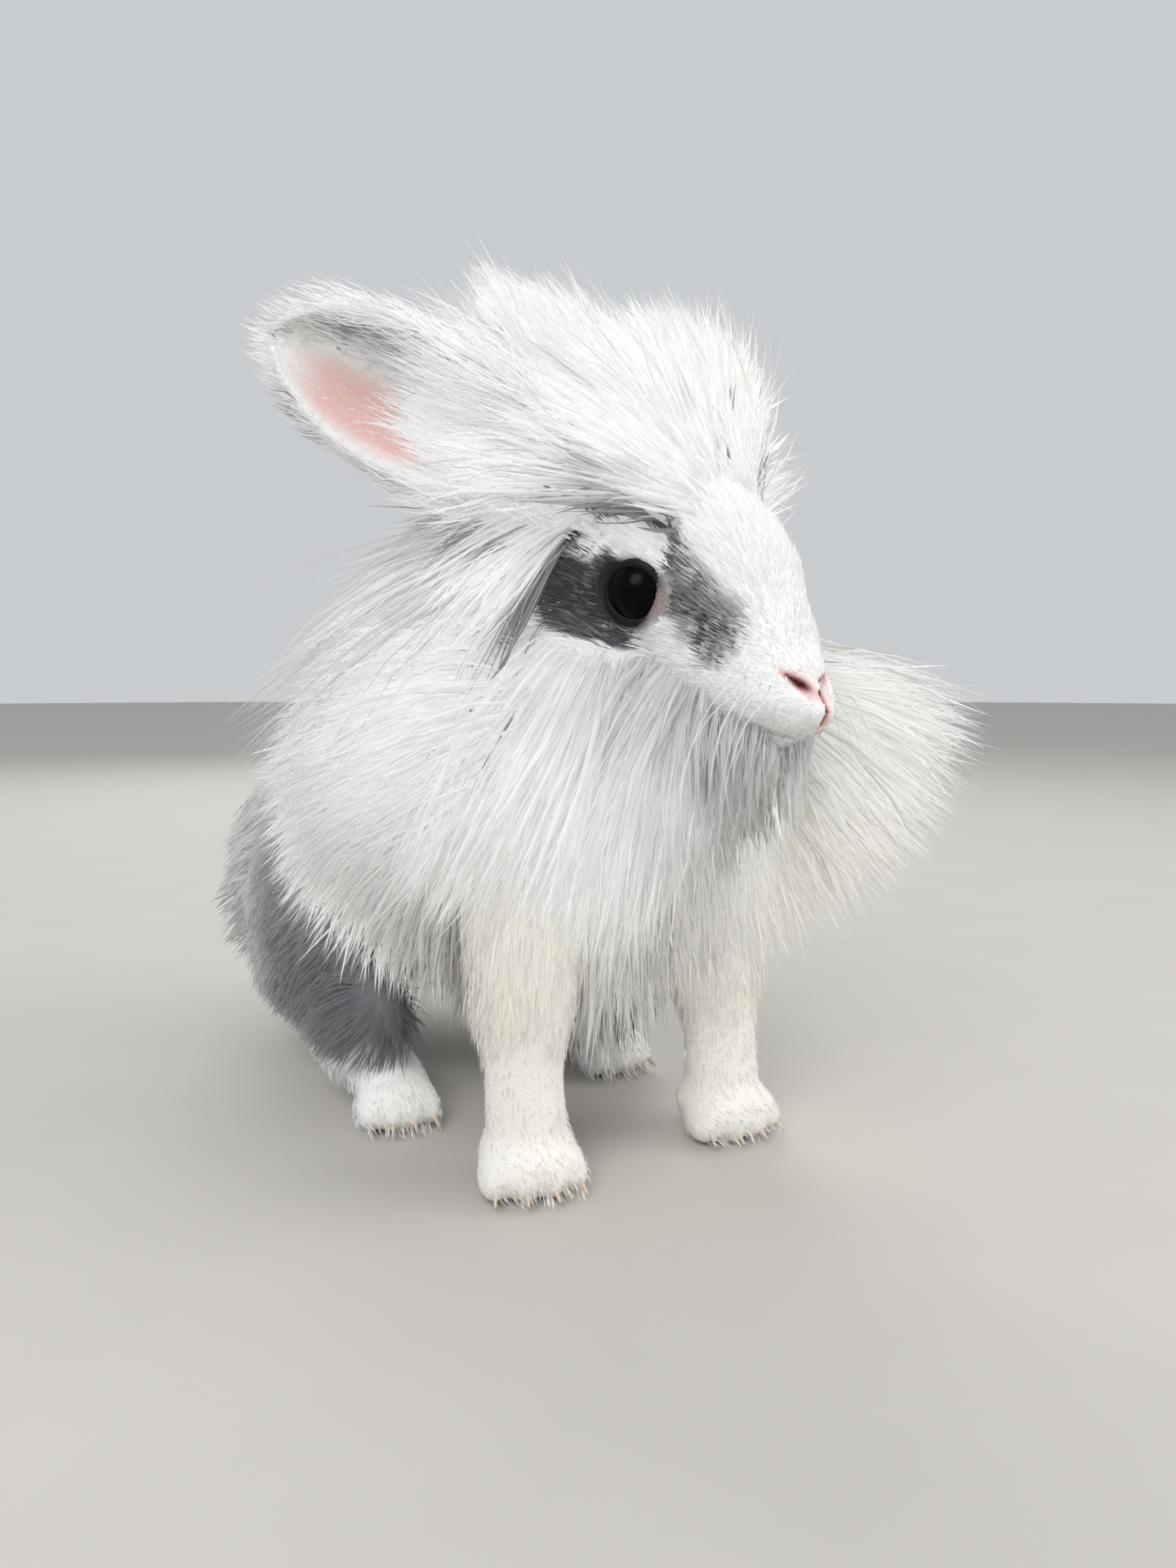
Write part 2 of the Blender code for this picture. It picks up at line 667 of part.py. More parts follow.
def build():
    clear_scene()
    ears = [ear(1), ear(-1)]
    eyes = [eye(1), eye(-1)]
    trunk = torso()
    legs = []
    for maker in (foreleg, hindleg):
        for side in (1, -1):
            limb, pieces = maker(side)
            combine(limb, pieces, "UNION")
            combine(limb, [grown(trunk), box("floor", (-200, -200, -60), (200, 200, 0))], "DIFFERENCE")
            legs.append(limb)
    puff = tail()
    combine(puff, [grown(trunk)], "DIFFERENCE")
    combine(trunk, torso_locks(), "UNION")
    combine(trunk, [grown(limb, CLEAR_BACK) for limb in legs + [puff]], "DIFFERENCE")
    top = head()
    combine(top, head_cutters() + [grown(thing) for thing in ears + legs + [trunk]], "DIFFERENCE")
    throat = neck()
    combine(throat, [grown(thing) for thing in ears + legs + [top, trunk]], "DIFFERENCE")
    for hair in (top, trunk):
        combine(throat, [grown(hair, 0.0)], "DIFFERENCE")
    coat = material("white_coat", (0.80, 0.81, 0.80), 0.9)
    grey = material("grey_coat", (0.30, 0.30, 0.32), 0.9)
    skin = material("pink_ear", (0.80, 0.50, 0.48), 0.6)
    dark = material("dark_eye", (0.01, 0.01, 0.012), 0.08, 0.5)
    slots = {top: coat, throat: coat, trunk: grey, puff: coat}
    slots.update({leg: coat for leg in legs})
    slots.update({e: skin for e in ears})
    slots.update({e: dark for e in eyes})
    rabbit = bpy.data.collections.new("lionhead_rabbit")
    bpy.context.scene.collection.children.link(rabbit)
    stand = bpy.data.objects.new("lionhead_rabbit_place", None)
    rabbit.objects.link(stand)
    for thing, surface in slots.items():
        settle(thing)
        thing.data.materials.clear()
        thing.data.materials.append(surface)
        bpy.context.scene.collection.objects.unlink(thing)
        rabbit.objects.link(thing)
        thing.parent = stand
    spots = [v.co for thing in slots for v in thing.data.vertices]
    for axis in (0, 1):
        reach = [spot[axis] for spot in spots]
        stand.location[axis] = -(min(reach) + max(reach)) / 2
    bpy.context.view_layer.update()
    print("place", [round(c / MM, 3) for c in stand.location])


build()
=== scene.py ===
import math

import bmesh
import bpy
import numpy as np
from mathutils import Matrix, Vector
from mathutils.bvhtree import BVHTree
from mathutils.kdtree import KDTree


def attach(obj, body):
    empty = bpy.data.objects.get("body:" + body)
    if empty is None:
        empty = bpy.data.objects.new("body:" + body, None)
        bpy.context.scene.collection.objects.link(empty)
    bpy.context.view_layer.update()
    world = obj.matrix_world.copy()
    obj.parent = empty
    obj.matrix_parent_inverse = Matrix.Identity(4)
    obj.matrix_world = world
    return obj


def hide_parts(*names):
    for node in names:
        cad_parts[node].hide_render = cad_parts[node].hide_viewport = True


bl_info = {
    "name": "Lionhead rabbit",
    "version": (1, 0, 0),
    "blender": (4, 5, 0),
    "location": "View3D > Sidebar > Rabbit",
    "description": "Skin, eyes, claws, whiskers and a coat of closed tufts for a sitting lionhead rabbit",
    "category": "Add Mesh",
}

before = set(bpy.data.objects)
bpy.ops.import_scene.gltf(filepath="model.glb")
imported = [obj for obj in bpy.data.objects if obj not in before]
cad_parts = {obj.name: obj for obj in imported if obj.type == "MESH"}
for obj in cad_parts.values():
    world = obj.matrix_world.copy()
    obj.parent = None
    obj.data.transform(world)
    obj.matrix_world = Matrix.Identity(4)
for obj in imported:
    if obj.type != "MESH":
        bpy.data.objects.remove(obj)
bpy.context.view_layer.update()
MM = 0.001
SIDES = ((1, "left"), (-1, "right"))
PARTS = ("head", "neck", "torso", "foreleg", "hindleg", "tail", "ear")

# The animal's own frame, in millimetres: it faces -Y, its left side is +X, and it stands on z = 0.
HEAD_AT = Vector((8.8, -58.8, 129.6))
HEAD_YAW, HEAD_PITCH = 8.0, 24.0
EYE_SPOT = (0.5, 12.8, 0.5)
EYE_RADIUS = 8.0
EAR_LEANS = {1: (-0.315, 0.55, 0.773), -1: (-0.80, 0.42, 0.43)}
EAR_MOUTHS = {1: (0.15, -0.85, 0.45), -1: (-0.25, -0.85, -0.45)}
EAR_ROOT = (-26.0, 13.0, 14.0)
EAR_SUNK, EAR_LENGTH, EAR_WALL = 7.0, 80.0, 1.9
FEET_AT = {"fore": {1: (31.5, -48.6), -1: (-24.6, -46.8)}, "hind": {1: (35.5, -10.0), -1: (-35.5, -10.0)}}
FEET_TURN = {"fore": {1: -8.0, -1: -18.0}, "hind": {1: 0.0, -1: -17.0}}

# Stations along each form: its centre, then half width, half height above and half height below.
TORSO = ((0, 117, 44, 9, 9, 9), (0, 109, 47, 27, 25, 24), (0, 92, 54, 39, 40, 36), (0, 66, 62, 45, 48, 42),
         (0, 38, 68, 44, 50, 42), (0, 10, 73, 39, 46, 38), (0, -16, 77, 34, 41, 37), (0, -36, 78, 29, 34, 36),
         (0, -50, 77, 19, 24, 28), (0, -56, 76, 7, 9, 11))
NECK = ((0, -2, 88, 20, 20, 20), (1, -12, 93, 29, 29, 29), (3, -24, 101, 31, 31, 31),
        (5, -35, 111, 29, 29, 29), (7, -45, 121, 22, 22, 22))
RUFF = ((1, 10, 72, 26, 26, 14), (1, 2, 78, 42, 36, 26), (2, -12, 87, 49, 39, 36), (3, -25, 98, 46, 36, 39),
        (6, -38, 110, 36, 28, 32), (8, -48, 120, 20, 18, 18))
SKULL = ((42.0, 0, -3.5, 4.0, 3.5, 5.0), (40.2, 0, -5.5, 9.0, 8.5, 9.5), (34.0, 0, -7.5, 13.0, 14.5, 12.5),
         (24.0, 0, -7.0, 14.5, 20.5, 16.0), (12.0, 0, -4.0, 16.6, 26.5, 20.0),
         (0.0, 0, -1.0, 18.2, 28.5, 24.0), (-13.0, 0, 0.0, 21.0, 28.0, 26.0),
         (-25.0, 0, 1.0, 20.5, 24.0, 24.0), (-33.0, 0, 1.0, 14.0, 16.0, 16.0), (-37.0, 0, 1.0, 5.0, 6.0, 6.0))
# The legs' stations are measured from the foot, with the first value toward the animal's outside.
FORE_LEG = ((-6, 12, 84, 12, 15, 12), (-4, 8, 66, 15, 16, 14), (-1.5, 3, 46, 13.8, 14.5, 13),
            (0, 1, 28, 11, 11, 11), (0, 0, 14, 11.2, 11, 11), (0, 0, 6, 10, 10, 10))
FORE_FOOT = ((0, 10, 6, 6, 5, 5), (0, 7, 7, 10.5, 9, 7), (0, 0, 8, 12.5, 9, 8), (0, -7, 7, 12.5, 7.5, 7),
             (0, -10.5, 6, 10.5, 5.5, 6), (0, -12, 5.5, 5, 3, 4))
HIND_FOOT = ((2, 77, 7, 4, 4, 4), (2, 72, 8, 9, 8, 7), (1, 52, 8, 10, 9, 8), (0, 30, 8, 10.5, 9, 8),
             (0, 14, 8, 10.5, 8.5, 8), (0, 7, 7, 9.5, 7, 7), (0, 4, 6, 5, 3.5, 5))
# Muzzle, chin, crown, cheeks and throat in the head's frame: centre and half sizes.
HEAD_BALLS = (((35.0, 5.5, -8.5), (6.4, 6.4, 6.0)), ((35.0, -5.5, -8.5), (6.4, 6.4, 6.0)),
              ((31.0, 0, -18.0), (7.0, 7.4, 4.6)), ((-22, 0, 16), (16, 16, 16)), ((0, 17, -18), (15, 14, 13)),
              ((-8, -13, -20), (14, 13, 12)), ((10, 0, -23), (13, 13, 14)))
# For each kind of foot: half the spread of its toes, and how far back the outer toes stand.
TOES = {"fore": (9.0, 2.2), "hind": (7.6, 2.0)}
# For each kind of foot: how far forward its claws start, how high, and how far they fan out.
CLAWS = {"fore": (-10.4, 3.6, 0.25), "hind": (4.0, 3.8, 0.2)}
CLAW_LENGTH, CLAW_DROP, CLAW_STEPS = 4.6, 1.2, 5
WHISKERS, WHISKER_POINTS = 6, 14

# Lines of the face's markings: forward and up in the head's frame.
EYE_ARC = ((-15, 4), (-14, 10), (-8, 14.5), (-2, 16), (4.5, 13.8), (9, 9.0))
EYE_FRONT = ((11, 6), (17, 4.5), (23, 0.5))
FRONT_SPOT = ((14, 3.0), (25, -2.2))
BEHIND_EYE = ((-8, -5), (-15, -6), (-20, -12))
CHEEK_STREAK = ((-18, 2), (-21, -6), (-23.5, -14))
BELOW_EYE = ((-20, -15), (-8, -13.5), (4, -10))
BROW = ((-3, 9.0), (0, 10.2), (4.5, 9.6))
BROW_TUFT = ((-3, 9.2), (0, 10.2), (4.5, 9.4))

# Long hair of the head by its angle from crown to chin: how far it lies along X, Y and Z, and its length.
RIGHT_ANGLES = (0, 20, 40, 60, 80, 105, 135, 160, 180)
RIGHT_LIE = ((0.0, -0.55, -0.8, -0.72, -0.62, -0.52, -0.36, -0.15, 0.0),
             (0.5, 0.5, 0.5, 0.34, 0.3, 0.26, 0.12, -0.02, -0.1),
             (0.85, 0.5, -0.02, -0.5, -0.74, -0.86, -0.96, -1.0, -1.0))
LEFT_ANGLES = (0, 20, 45, 75, 92, 120, 150, 180)
LEFT_LIE = ((0.0, 0.35, 0.75, 0.8, 0.8, 0.85, 0.45, 0.0),
            (0.5, 0.3, 0.1, -0.15, -0.36, -0.38, -0.22, -0.1),
            (0.85, 0.9, 0.6, 0.45, 0.34, -0.25, -0.86, -1.0))
RIGHT_LENGTHS = ((0, 25, 45, 80, 100, 130, 180), (0.86, 1.1, 1.45, 1.66, 1.56, 1.3, 1.22))
LEFT_LENGTHS = ((0, 25, 60, 100, 180), (0.9, 1.05, 1.1, 1.26, 1.22))
MANE_RISE = ((0, 30, 60, 100, 130), (0.42, 0.42, 0.45, 0.4, 0.3))
MANE_LENGTH = 58.0

# For each layer of long hair: tufts a square centimetre, width, and distance kept from the skin.
MANE_LAYERS = ((84.0, 1.7, 0.6), (96.0, 0.9, 1.6), (112.0, 0.55, 3.0), (118.0, 0.38, 4.1))
RUFF_LAYERS = ((45.0, 1.7, 0.6), (52.0, 0.9, 1.7), (62.0, 0.5, 2.8))
# For each layer of the body coat: tufts a square centimetre, and width.
BODY_LAYERS = ((18.0, 1.8), (30.0, 0.65))
TUFT_FLAT = 0.4
# How close the drawn hairs lie across a tuft and along it, and how far one tuft's pattern is from the next's.
HAIR_GRID = (4.2, 0.09, 60.0)
LOWEST_HAIR = 0.25
BAKE_PATCH = 0.003

# Lights: place and width in metres, power in watts. Camera: place in millimetres, turn in degrees.
LIGHTS = (("key", (-0.75, -0.6, 0.9), 0.8, 8.0), ("fill", (0.9, -0.7, 0.5), 1.0, 5.5),
          ("back", (0.35, 0.9, 0.8), 0.8, 5.0))
LIT_SPOT = Vector((0, 0, 0.1))
SKY_STRENGTH = 0.72
CAMERA_AT, CAMERA_TURN, CAMERA_LENS = (-155.6, -249.4, 111.0), (84.8, 0.0, -36.1), 26.0
FLOOR_RADIUS = 6.0


def head_matrix():
    """The head's frame: X forward along the face, Y to the rabbit's left, Z up."""
    yaw, pitch = math.radians(HEAD_YAW), math.radians(HEAD_PITCH)
    level = Vector((math.sin(yaw), -math.cos(yaw), 0.0))
    left = Vector((math.cos(yaw), math.sin(yaw), 0.0))
    forward = level * math.cos(pitch) - Vector((0, 0, 1)) * math.sin(pitch)
    matrix = Matrix((forward, left, forward.cross(left))).transposed().to_4x4()
    matrix.translation = HEAD_AT
    return matrix


HEAD = head_matrix()
HEAD_TURN = np.array(HEAD.to_3x3())


def frame_shift():
    """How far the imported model's frame lies from the animal's own, in X and Y, read off the right eye."""
    spots = [v.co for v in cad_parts["eye_right"].data.vertices]
    middle = sum(spots, Vector()) / len(spots) / MM
    shift = middle - HEAD @ Vector((EYE_SPOT[0], -EYE_SPOT[1], EYE_SPOT[2]))
    shift.z = 0.0
    return shift


SHIFT = frame_shift()
TO_ROW = Matrix.Scale(MM, 4) @ Matrix.Translation(SHIFT)


def smooth_at(values, t):
    """A smooth curve through evenly spaced values, read at t from 0 to 1."""
    last = len(values) - 1
    place = min(max(t, 0.0), 1.0) * last
    i = min(int(place), last - 1)
    f = place - i
    a, b, c, d = (values[min(max(k, 0), last)] for k in (i - 1, i, i + 1, i + 2))
    bent = (2 * a - 5 * b + 4 * c - d) * f * f
    return 0.5 * (2 * b + (c - a) * f + bent + (3 * b - a - 3 * c + d) * f ** 3)


def body_rings(stations, across, count, sides, inset):
    """Rings of points round a form swept through its stations, drawn in by inset."""
    across = Vector(across)
    columns = [[s[k] for s in stations] for k in range(6)]
    rings = []
    for i in range(count):
        t = i / (count - 1)
        middle, before, after = (Vector([smooth_at(columns[k], min(max(q, 0), 1)) for k in range(3)])
                                 for q in (t, t - 0.01, t + 0.01))
        run = (after - before).normalized()
        side = (across - run * across.dot(run)).normalized()
        up = run.cross(side)
        if up.z < 0 and abs(up.z) > 0.2:
            up = -up
        wide, high, low = (max(smooth_at(columns[k], t) - inset, 1.0) for k in (3, 4, 5))
        ring = []
        for a in turns_round(sides):
            s = math.sin(a)
            ring.append(middle + side * (wide * math.cos(a)) + up * ((high if s > 0 else low) * s))
        rings.append(ring)
    return rings


def turns_round(count):
    """Evenly spaced angles round a circle."""
    return [2 * math.pi * j / count for j in range(count)]


def edge_loop(bm, ring):
    """A closed loop of edges through a ring of points, added to the bmesh."""
    verts = [bm.verts.new(p) for p in ring]
    return [bm.edges.new((verts[j], verts[(j + 1) % len(verts)])) for j in range(len(verts))]


def bridged(bm, loops):
    """Faces from each loop to the next."""
    for a, b in zip(loops, loops[1:]):
        bmesh.ops.bridge_loops(bm, edges=a + b)


def shade_smooth(bm):
    for f in bm.faces:
        f.smooth = True


def lofted(rings, matrix=None):
    """A closed bmesh over rings of equal count, bridged one to the next."""
    bm = bmesh.new()
    bridged(bm, [edge_loop(bm, ring) for ring in rings])
    bmesh.ops.holes_fill(bm, edges=[e for e in bm.edges if e.is_boundary], sides=0)
    bmesh.ops.triangulate(bm, faces=bm.faces)
    bmesh.ops.recalc_face_normals(bm, faces=bm.faces)
    if matrix is not None:
        bmesh.ops.transform(bm, matrix=matrix, verts=bm.verts)
    return bm


def swept(stations, count, sides, inset, matrix=None, across=(1, 0, 0)):
    """A closed form swept through its stations."""
    return lofted(body_rings(stations, across, count, sides, inset), matrix)


def ball(centre, halves, turn=(0, 0, 0), matrix=None, across=28, rows=18):
    """An ellipsoid bmesh with its half sizes, turned by degrees about X, Y and Z."""
    bm = bmesh.new()
    bmesh.ops.create_uvsphere(bm, u_segments=across, v_segments=rows, radius=1.0)
    spin = Matrix.Rotation(math.radians(turn[2]), 4, "Z") @ Matrix.Rotation(math.radians(turn[1]), 4, "Y")
    spin = spin @ Matrix.Rotation(math.radians(turn[0]), 4, "X")
    place = Matrix.Translation(Vector(centre)) @ spin @ Matrix.Diagonal((*halves, 1.0))
    bmesh.ops.transform(bm, matrix=matrix @ place if matrix is not None else place, verts=bm.verts)
    bmesh.ops.triangulate(bm, faces=bm.faces)
    return bm


def merge_in(whole, part):
    """Adds one bmesh to another and frees it."""
    mesh = bpy.data.meshes.new("form")
    part.to_mesh(mesh)
    part.free()
    whole.from_mesh(mesh)
    bpy.data.meshes.remove(mesh)


def object_from(name, bm, matrix=None):
    """An object whose mesh is the bmesh, with the matrix applied to it."""
    mesh = bpy.data.meshes.new(name)
    if matrix is not None:
        bmesh.ops.transform(bm, matrix=matrix, verts=bm.verts)
    bm.to_mesh(mesh)
    bm.free()
    thing = bpy.data.objects.new(name, mesh)
    bpy.context.scene.collection.objects.link(thing)
    return thing


def ear_ways(side):
    """An ear's lean, from root to tip, and the way its open side faces."""
    lean = Vector(EAR_LEANS[side]).normalized()
    mouth = Vector(EAR_MOUTHS[side])
    return lean, (mouth - lean * mouth.dot(lean)).normalized()


def ear_sheet(side):
    """A cupped ear: a grid rolled at its root, opening to a rounded tip, given its wall. With it, where each
    point of the grid lies: across from -1 to 1, along from 0 to 1."""
    lean, mouth = ear_ways(side)
    cross = lean.cross(mouth)
    spots = []
    start = HEAD @ Vector((EAR_ROOT[0], EAR_ROOT[1] * side, EAR_ROOT[2])) - lean * EAR_SUNK
    bm = bmesh.new()
    bmesh.ops.create_grid(bm, x_segments=18, y_segments=34, size=1.0)
    for v in bm.verts:
        across, t = v.co.x, (v.co.y + 1) / 2
        opening = 148 - 90 * min(t / 0.45, 1.0) ** 0.8
        half = 6.5 + 10.0 * math.sin(math.pi * min(t / 1.25, 1.0)) ** 1.1
        half *= (1 - max(t - 0.62, 0) ** 2.2 / 0.38 ** 2.2) ** 0.5 if t > 0.62 else 1.0
        half = max(half, 1.6)
        radius = half / max(math.sin(math.radians(min(opening, 90))), 0.25)
        a = math.radians(opening * across)
        back = start + lean * (EAR_LENGTH * t) - mouth * (5 * math.sin(math.pi * t))
        v.co = back + cross * (radius * math.sin(a)) + mouth * (radius * (1 - math.cos(a)))
        spots.append((v.co.copy(), across, t))
    bmesh.ops.recalc_face_normals(bm, faces=bm.faces)
    bmesh.ops.solidify(bm, geom=bm.faces, thickness=-EAR_WALL)
    bmesh.ops.recalc_face_normals(bm, faces=bm.faces)
    bmesh.ops.triangulate(bm, faces=bm.faces)
    return bm, spots


def foot_place(kind, side):
    """Where a foot stands: its own frame has its toes toward -Y."""
    turn = Matrix.Rotation(math.radians(FEET_TURN[kind][side]), 4, "Z")
    return Matrix.Translation((*FEET_AT[kind][side], 0)) @ turn


def toe_spots(kind, front, high):
    """For each toe, how far across its foot it lies, from -1 to 1, and a place on it in the foot's frame."""
    half, back = TOES[kind]
    steps = [(k - 1.5) / 1.5 for k in range(4)]
    return [(across, Vector((half * across, front + back * across ** 2, high))) for across in steps]


def foreleg_forms(side):
    """Leg, foot and toes of a foreleg."""
    x, y = FEET_AT["fore"][side]
    place = foot_place("fore", side)
    leg = [(x + s[0] * side, y + s[1], *s[2:]) for s in FORE_LEG]
    toes = [ball(spot, (3.2, 6.6, 4.5), matrix=place) for _, spot in toe_spots("fore", -7.0, 4.8)]
    return [swept(leg, 25, 28, 2.2), swept(FORE_FOOT, 15, 24, 1.5, place), *toes]


def hindleg_forms(side):
    """Thigh, knee, foot and toes of a hind leg."""
    place = foot_place("hind", side)
    foot = [(s[0] * side, *s[1:]) for s in HIND_FOOT]
    toes = [ball(spot, (2.9, 7.4, 4.9), matrix=place) for _, spot in toe_spots("hind", 8.5, 5.2)]
    return [ball((34 * side, 48, 46), (12.5, 36, 32), (14, 0, 4 * side)),
            ball((36 * side, 14, 24), (10, 20.5, 14.5), (-26, 0, 0)), swept(foot, 21, 24, 1.5, place), *toes]


def flesh_parts():
    """Every form under the coat as (part name, bmesh), each inside the body by the coat's depth."""
    made = [("torso", swept(TORSO, 41, 40, 5.0)), ("neck", swept(NECK, 15, 32, 2.0)),
            ("neck", swept(RUFF, 21, 36, 7.0)), ("head", swept(SKULL, 49, 40, 1.4, HEAD, (0, 1, 0)))]
    made += [("head", ball(centre, halves, matrix=HEAD)) for centre, halves in HEAD_BALLS]
    made.append(("tail", ball((0, 120, 46), (10, 10, 15), (-18, 0, 0))))
    for side, _ in SIDES:
        made += [("foreleg", form) for form in foreleg_forms(side)]
        made += [("hindleg", form) for form in hindleg_forms(side)]
    return made


# Markings of the coat, the same on the skin and on the hair that grows from it.


def ramp(x, low, high):
    """0 below low, 1 above high, smooth between; low may be the larger."""
    t = np.clip((x - low) / (high - low), 0.0, 1.0)
    return t * t * (3 - 2 * t)


def blended(first, second, amount):
    """The first where the amount is 0, the second where it is 1."""
    return first * (1 - amount) + second * amount


def wobble(points, size, seed):
    """Soft uneven noise from -1 to 1 over points, its lumps about the size in millimetres."""
    draw = np.random.default_rng(seed)
    total = np.zeros(len(points))
    for _ in range(6):
        wave = draw.normal(size=3) * (1.6 / size)
        total += np.sin(points @ wave + draw.uniform(0, 6.3))
    return total / 3.2


def head_place(points):
    """Forward, left and up in the head's own frame."""
    local = (points - np.array(HEAD_AT)) @ HEAD_TURN
    return local[:, 0], local[:, 1], local[:, 2]


def to_line(s, u, line):
    """Distance of side-view places from a broken line."""
    best = np.full(len(s), 1e9)
    for (s0, u0), (s1, u1) in zip(line, line[1:]):
        ds, du = s1 - s0, u1 - u0
        t = np.clip(((s - s0) * ds + (u - u0) * du) / (ds * ds + du * du), 0, 1)
        best = np.minimum(best, np.hypot(s - s0 - t * ds, u - u0 - t * du))
    return best


def from_eye(s, u):
    """Distance of side-view places from the middle of the eye."""
    return np.hypot(s - EYE_SPOT[0], u - EYE_SPOT[2])


def nostril(s, l, u):
    """How deep in a nostril's slit or the split of the lip a place is, from 0 to 1."""
    far = np.abs(l) - 4.2
    along = far * 0.953 + (u + 3.4) * 0.305
    over = (u + 3.4) * 0.953 - far * 0.305
    wide = 0.8 + 0.6 * ramp(along, 3.0, -3.0)
    slit = np.exp(-(along / 3.2) ** 4 - (over / wide) ** 2) * ramp(s, 33.0, 36.0)
    split = np.exp(-(l / 0.8) ** 2) * ramp(u, -11.5, -9.5) * ramp(u, -3.0, -4.5) * ramp(s, 33.0, 37.0)
    return np.maximum(slit, split)


def head_long(points):
    """How far the coat of the head is long hair, from 0 on the face to 1 on crown, cheeks and chin."""
    s, l, u = head_place(points)
    crown = ramp(s - 0.3 * np.abs(l), 6.0, -6.0) * ramp(u, 14.5, 20.0)
    start = -14.0 - 6.0 * ramp(u, 9.0, -2.0) - 3.0 * ramp(u, -2.0, -16.0)
    rear = ramp(s - start, 0.0, -5.0)
    cheek = ramp(u + 6.0 * ramp(s, 12.0, -14.0), -9.0, -13.0)
    cheek = cheek * ramp(s - 0.6 * (u + 10.0), 31.0, 24.0) * ramp(np.abs(l), 4.0, 8.0)
    beard = ramp(u, -11.5, -15.5) * ramp(s, 40.0, 34.0)
    return np.maximum.reduce([crown, rear, cheek, beard])


def face_marks(place, head, long_hair, rough, fine, hair):
    """Grey and dark amounts of the face: the patch round the eye and the streaks behind and below it."""
    s, l, u = place
    rim = ramp(from_eye(s, u), 10.5, 7.0)
    arc = ramp(to_line(s, u + 0.8 * fine, EYE_ARC), 3.8, 1.6)
    front = ramp(to_line(s, u + 1.2 * fine + hair, EYE_FRONT), 7.0, 3.0)
    spot = ramp(to_line(s, u + fine + 0.6 * hair, FRONT_SPOT), 4.6, 1.2)
    behind = ramp(to_line(s, u + 0.6 * rough, BEHIND_EYE), 8.8, 6.6) * ramp(u, 7.5, 3.0)
    streak = ramp(to_line(s, u + 0.8 * rough, CHEEK_STREAK), 4.4, 2.4) * ramp(l, 2.0, -2.0)
    below = ramp(to_line(s, u + 0.4 * fine, BELOW_EYE), 3.6, 2.0)
    brow = ramp(to_line(s, u + 0.5 * fine, BROW), 4.2, 2.6)
    short = ramp(long_hair, 0.3, 0.04)
    grizzle = np.clip(0.6 + 0.5 * hair, 0.0, 1.0)
    dark = np.maximum.reduce([rim, 0.8 * arc * (1 - long_hair), spot * (0.3 + 0.7 * grizzle),
                              front * grizzle * 0.85, behind * 0.88 * short, 0.85 * below * short,
                              0.5 * streak])
    grey = np.maximum.reduce([front * 0.85 * (0.5 + 0.5 * grizzle), behind * 0.95 * short,
                              arc * (1 - 0.95 * long_hair), rim, below * 0.8 * short, 0.75 * streak])
    cheek = ramp(np.abs(l), 6.0, 10.0) * head
    return [amount * (1 - 0.95 * brow) * cheek for amount in (grey, dark)]


def markings(points, parts):
    """Grey, dark, cream and pink amounts at places on the skin. A tuft takes those of its root."""
    s, l, u = head_place(points)
    y, z = points[:, 1], points[:, 2]
    rough, fine, hair = (wobble(points, size, seed) for size, seed in ((9.0, 3), (3.0, 4), (1.1, 5)))
    on = {name: (parts == i).astype(float) for i, name in enumerate(PARTS)}
    head = on["head"]
    long_hair = head_long(points)
    grey, dark = face_marks((s, l, u), head, long_hair, rough, fine, hair)
    corner = ramp(np.hypot(s - 8.8, 0.6 * (u - 0.3)), 2.8, 1.4) * head
    dark = np.maximum(dark * (1 - 0.8 * long_hair * ramp(s, -12.0, -4.0)), 0.75 * corner)
    rear = on["torso"] * ramp(y + 5 * rough, -14.0, 12.0) + on["hindleg"] * ramp(z + 3 * rough, 14.0, 26.0)
    rear_side = ramp(y + 5 * rough, 34.0, 78.0)
    grey = grey + rear * (0.9 - 0.6 * rear_side + 0.08 * fine)
    grey = grey + on["tail"] * (0.25 + 0.4 * ramp(z, 44, 58))
    # The grey of flank and thigh is darker low down and toward the front, next to the forelegs.
    low = ramp(z + 4 * rough, 66.0, 34.0) * ramp(z, 14, 24) * ramp(y + 4 * rough, 62, 26)
    dark = dark + rear * low * 0.5
    chest = ramp(z, 100.0, 62.0) * ramp(y, 6.0, -12.0)
    beard = head * (ramp(u, -16.0, -24.0) * 0.22 + ramp(l, 6.0, 12.0) * 0.14)
    cream = chest * 0.26 * (1 - head) + beard + on["foreleg"] * (0.08 + 0.13 * ramp(z, 18.0, 40.0))
    halo = np.exp(-(l / 5.0) ** 2 - ((u + 1.0) / 3.0) ** 2) * ramp(s, 36.0, 40.0)
    pink = np.maximum.reduce([np.minimum(nostril(s, l, u) * 1.25, 1.0), 0.12 * halo, 0.14 * corner]) * head
    return np.clip(np.stack([grey, dark, cream, pink], axis=1), 0.0, 1.0)


# Materials.


def linear(code):
    """An sRGB hex colour as linear red, green and blue."""
    parts = [int(code[i:i + 2], 16) / 255 for i in (1, 3, 5)]
    return tuple(c / 12.92 if c <= 0.04045 else ((c + 0.055) / 1.055) ** 2.4 for c in parts)


def rgba(colour):
    """A linear colour, or an sRGB hex code, as an opaque socket value."""
    return (*(linear(colour) if isinstance(colour, str) else colour[:3]), 1.0)


def add(tree, kind, values=None, links=None, **settings):
    """Adds a node with its settings, its socket values and its incoming links."""
    made = tree.nodes.new(kind)
    for key, value in settings.items():
        setattr(made, key, value)
    for key, value in (values or {}).items():
        made.inputs[key].default_value = value
    for key, source in (links or {}).items():
        tree.links.new(source, made.inputs[key])
    return made


def new_material(name, values):
    """A material with only its output and its shader, whose sockets take the values."""
    surface = bpy.data.materials.new(name)
    surface.use_nodes = True
    shader = surface.node_tree.nodes["Principled BSDF"]
    for key, value in values.items():
        shader.inputs[key].default_value = value
    return surface, surface.node_tree, shader


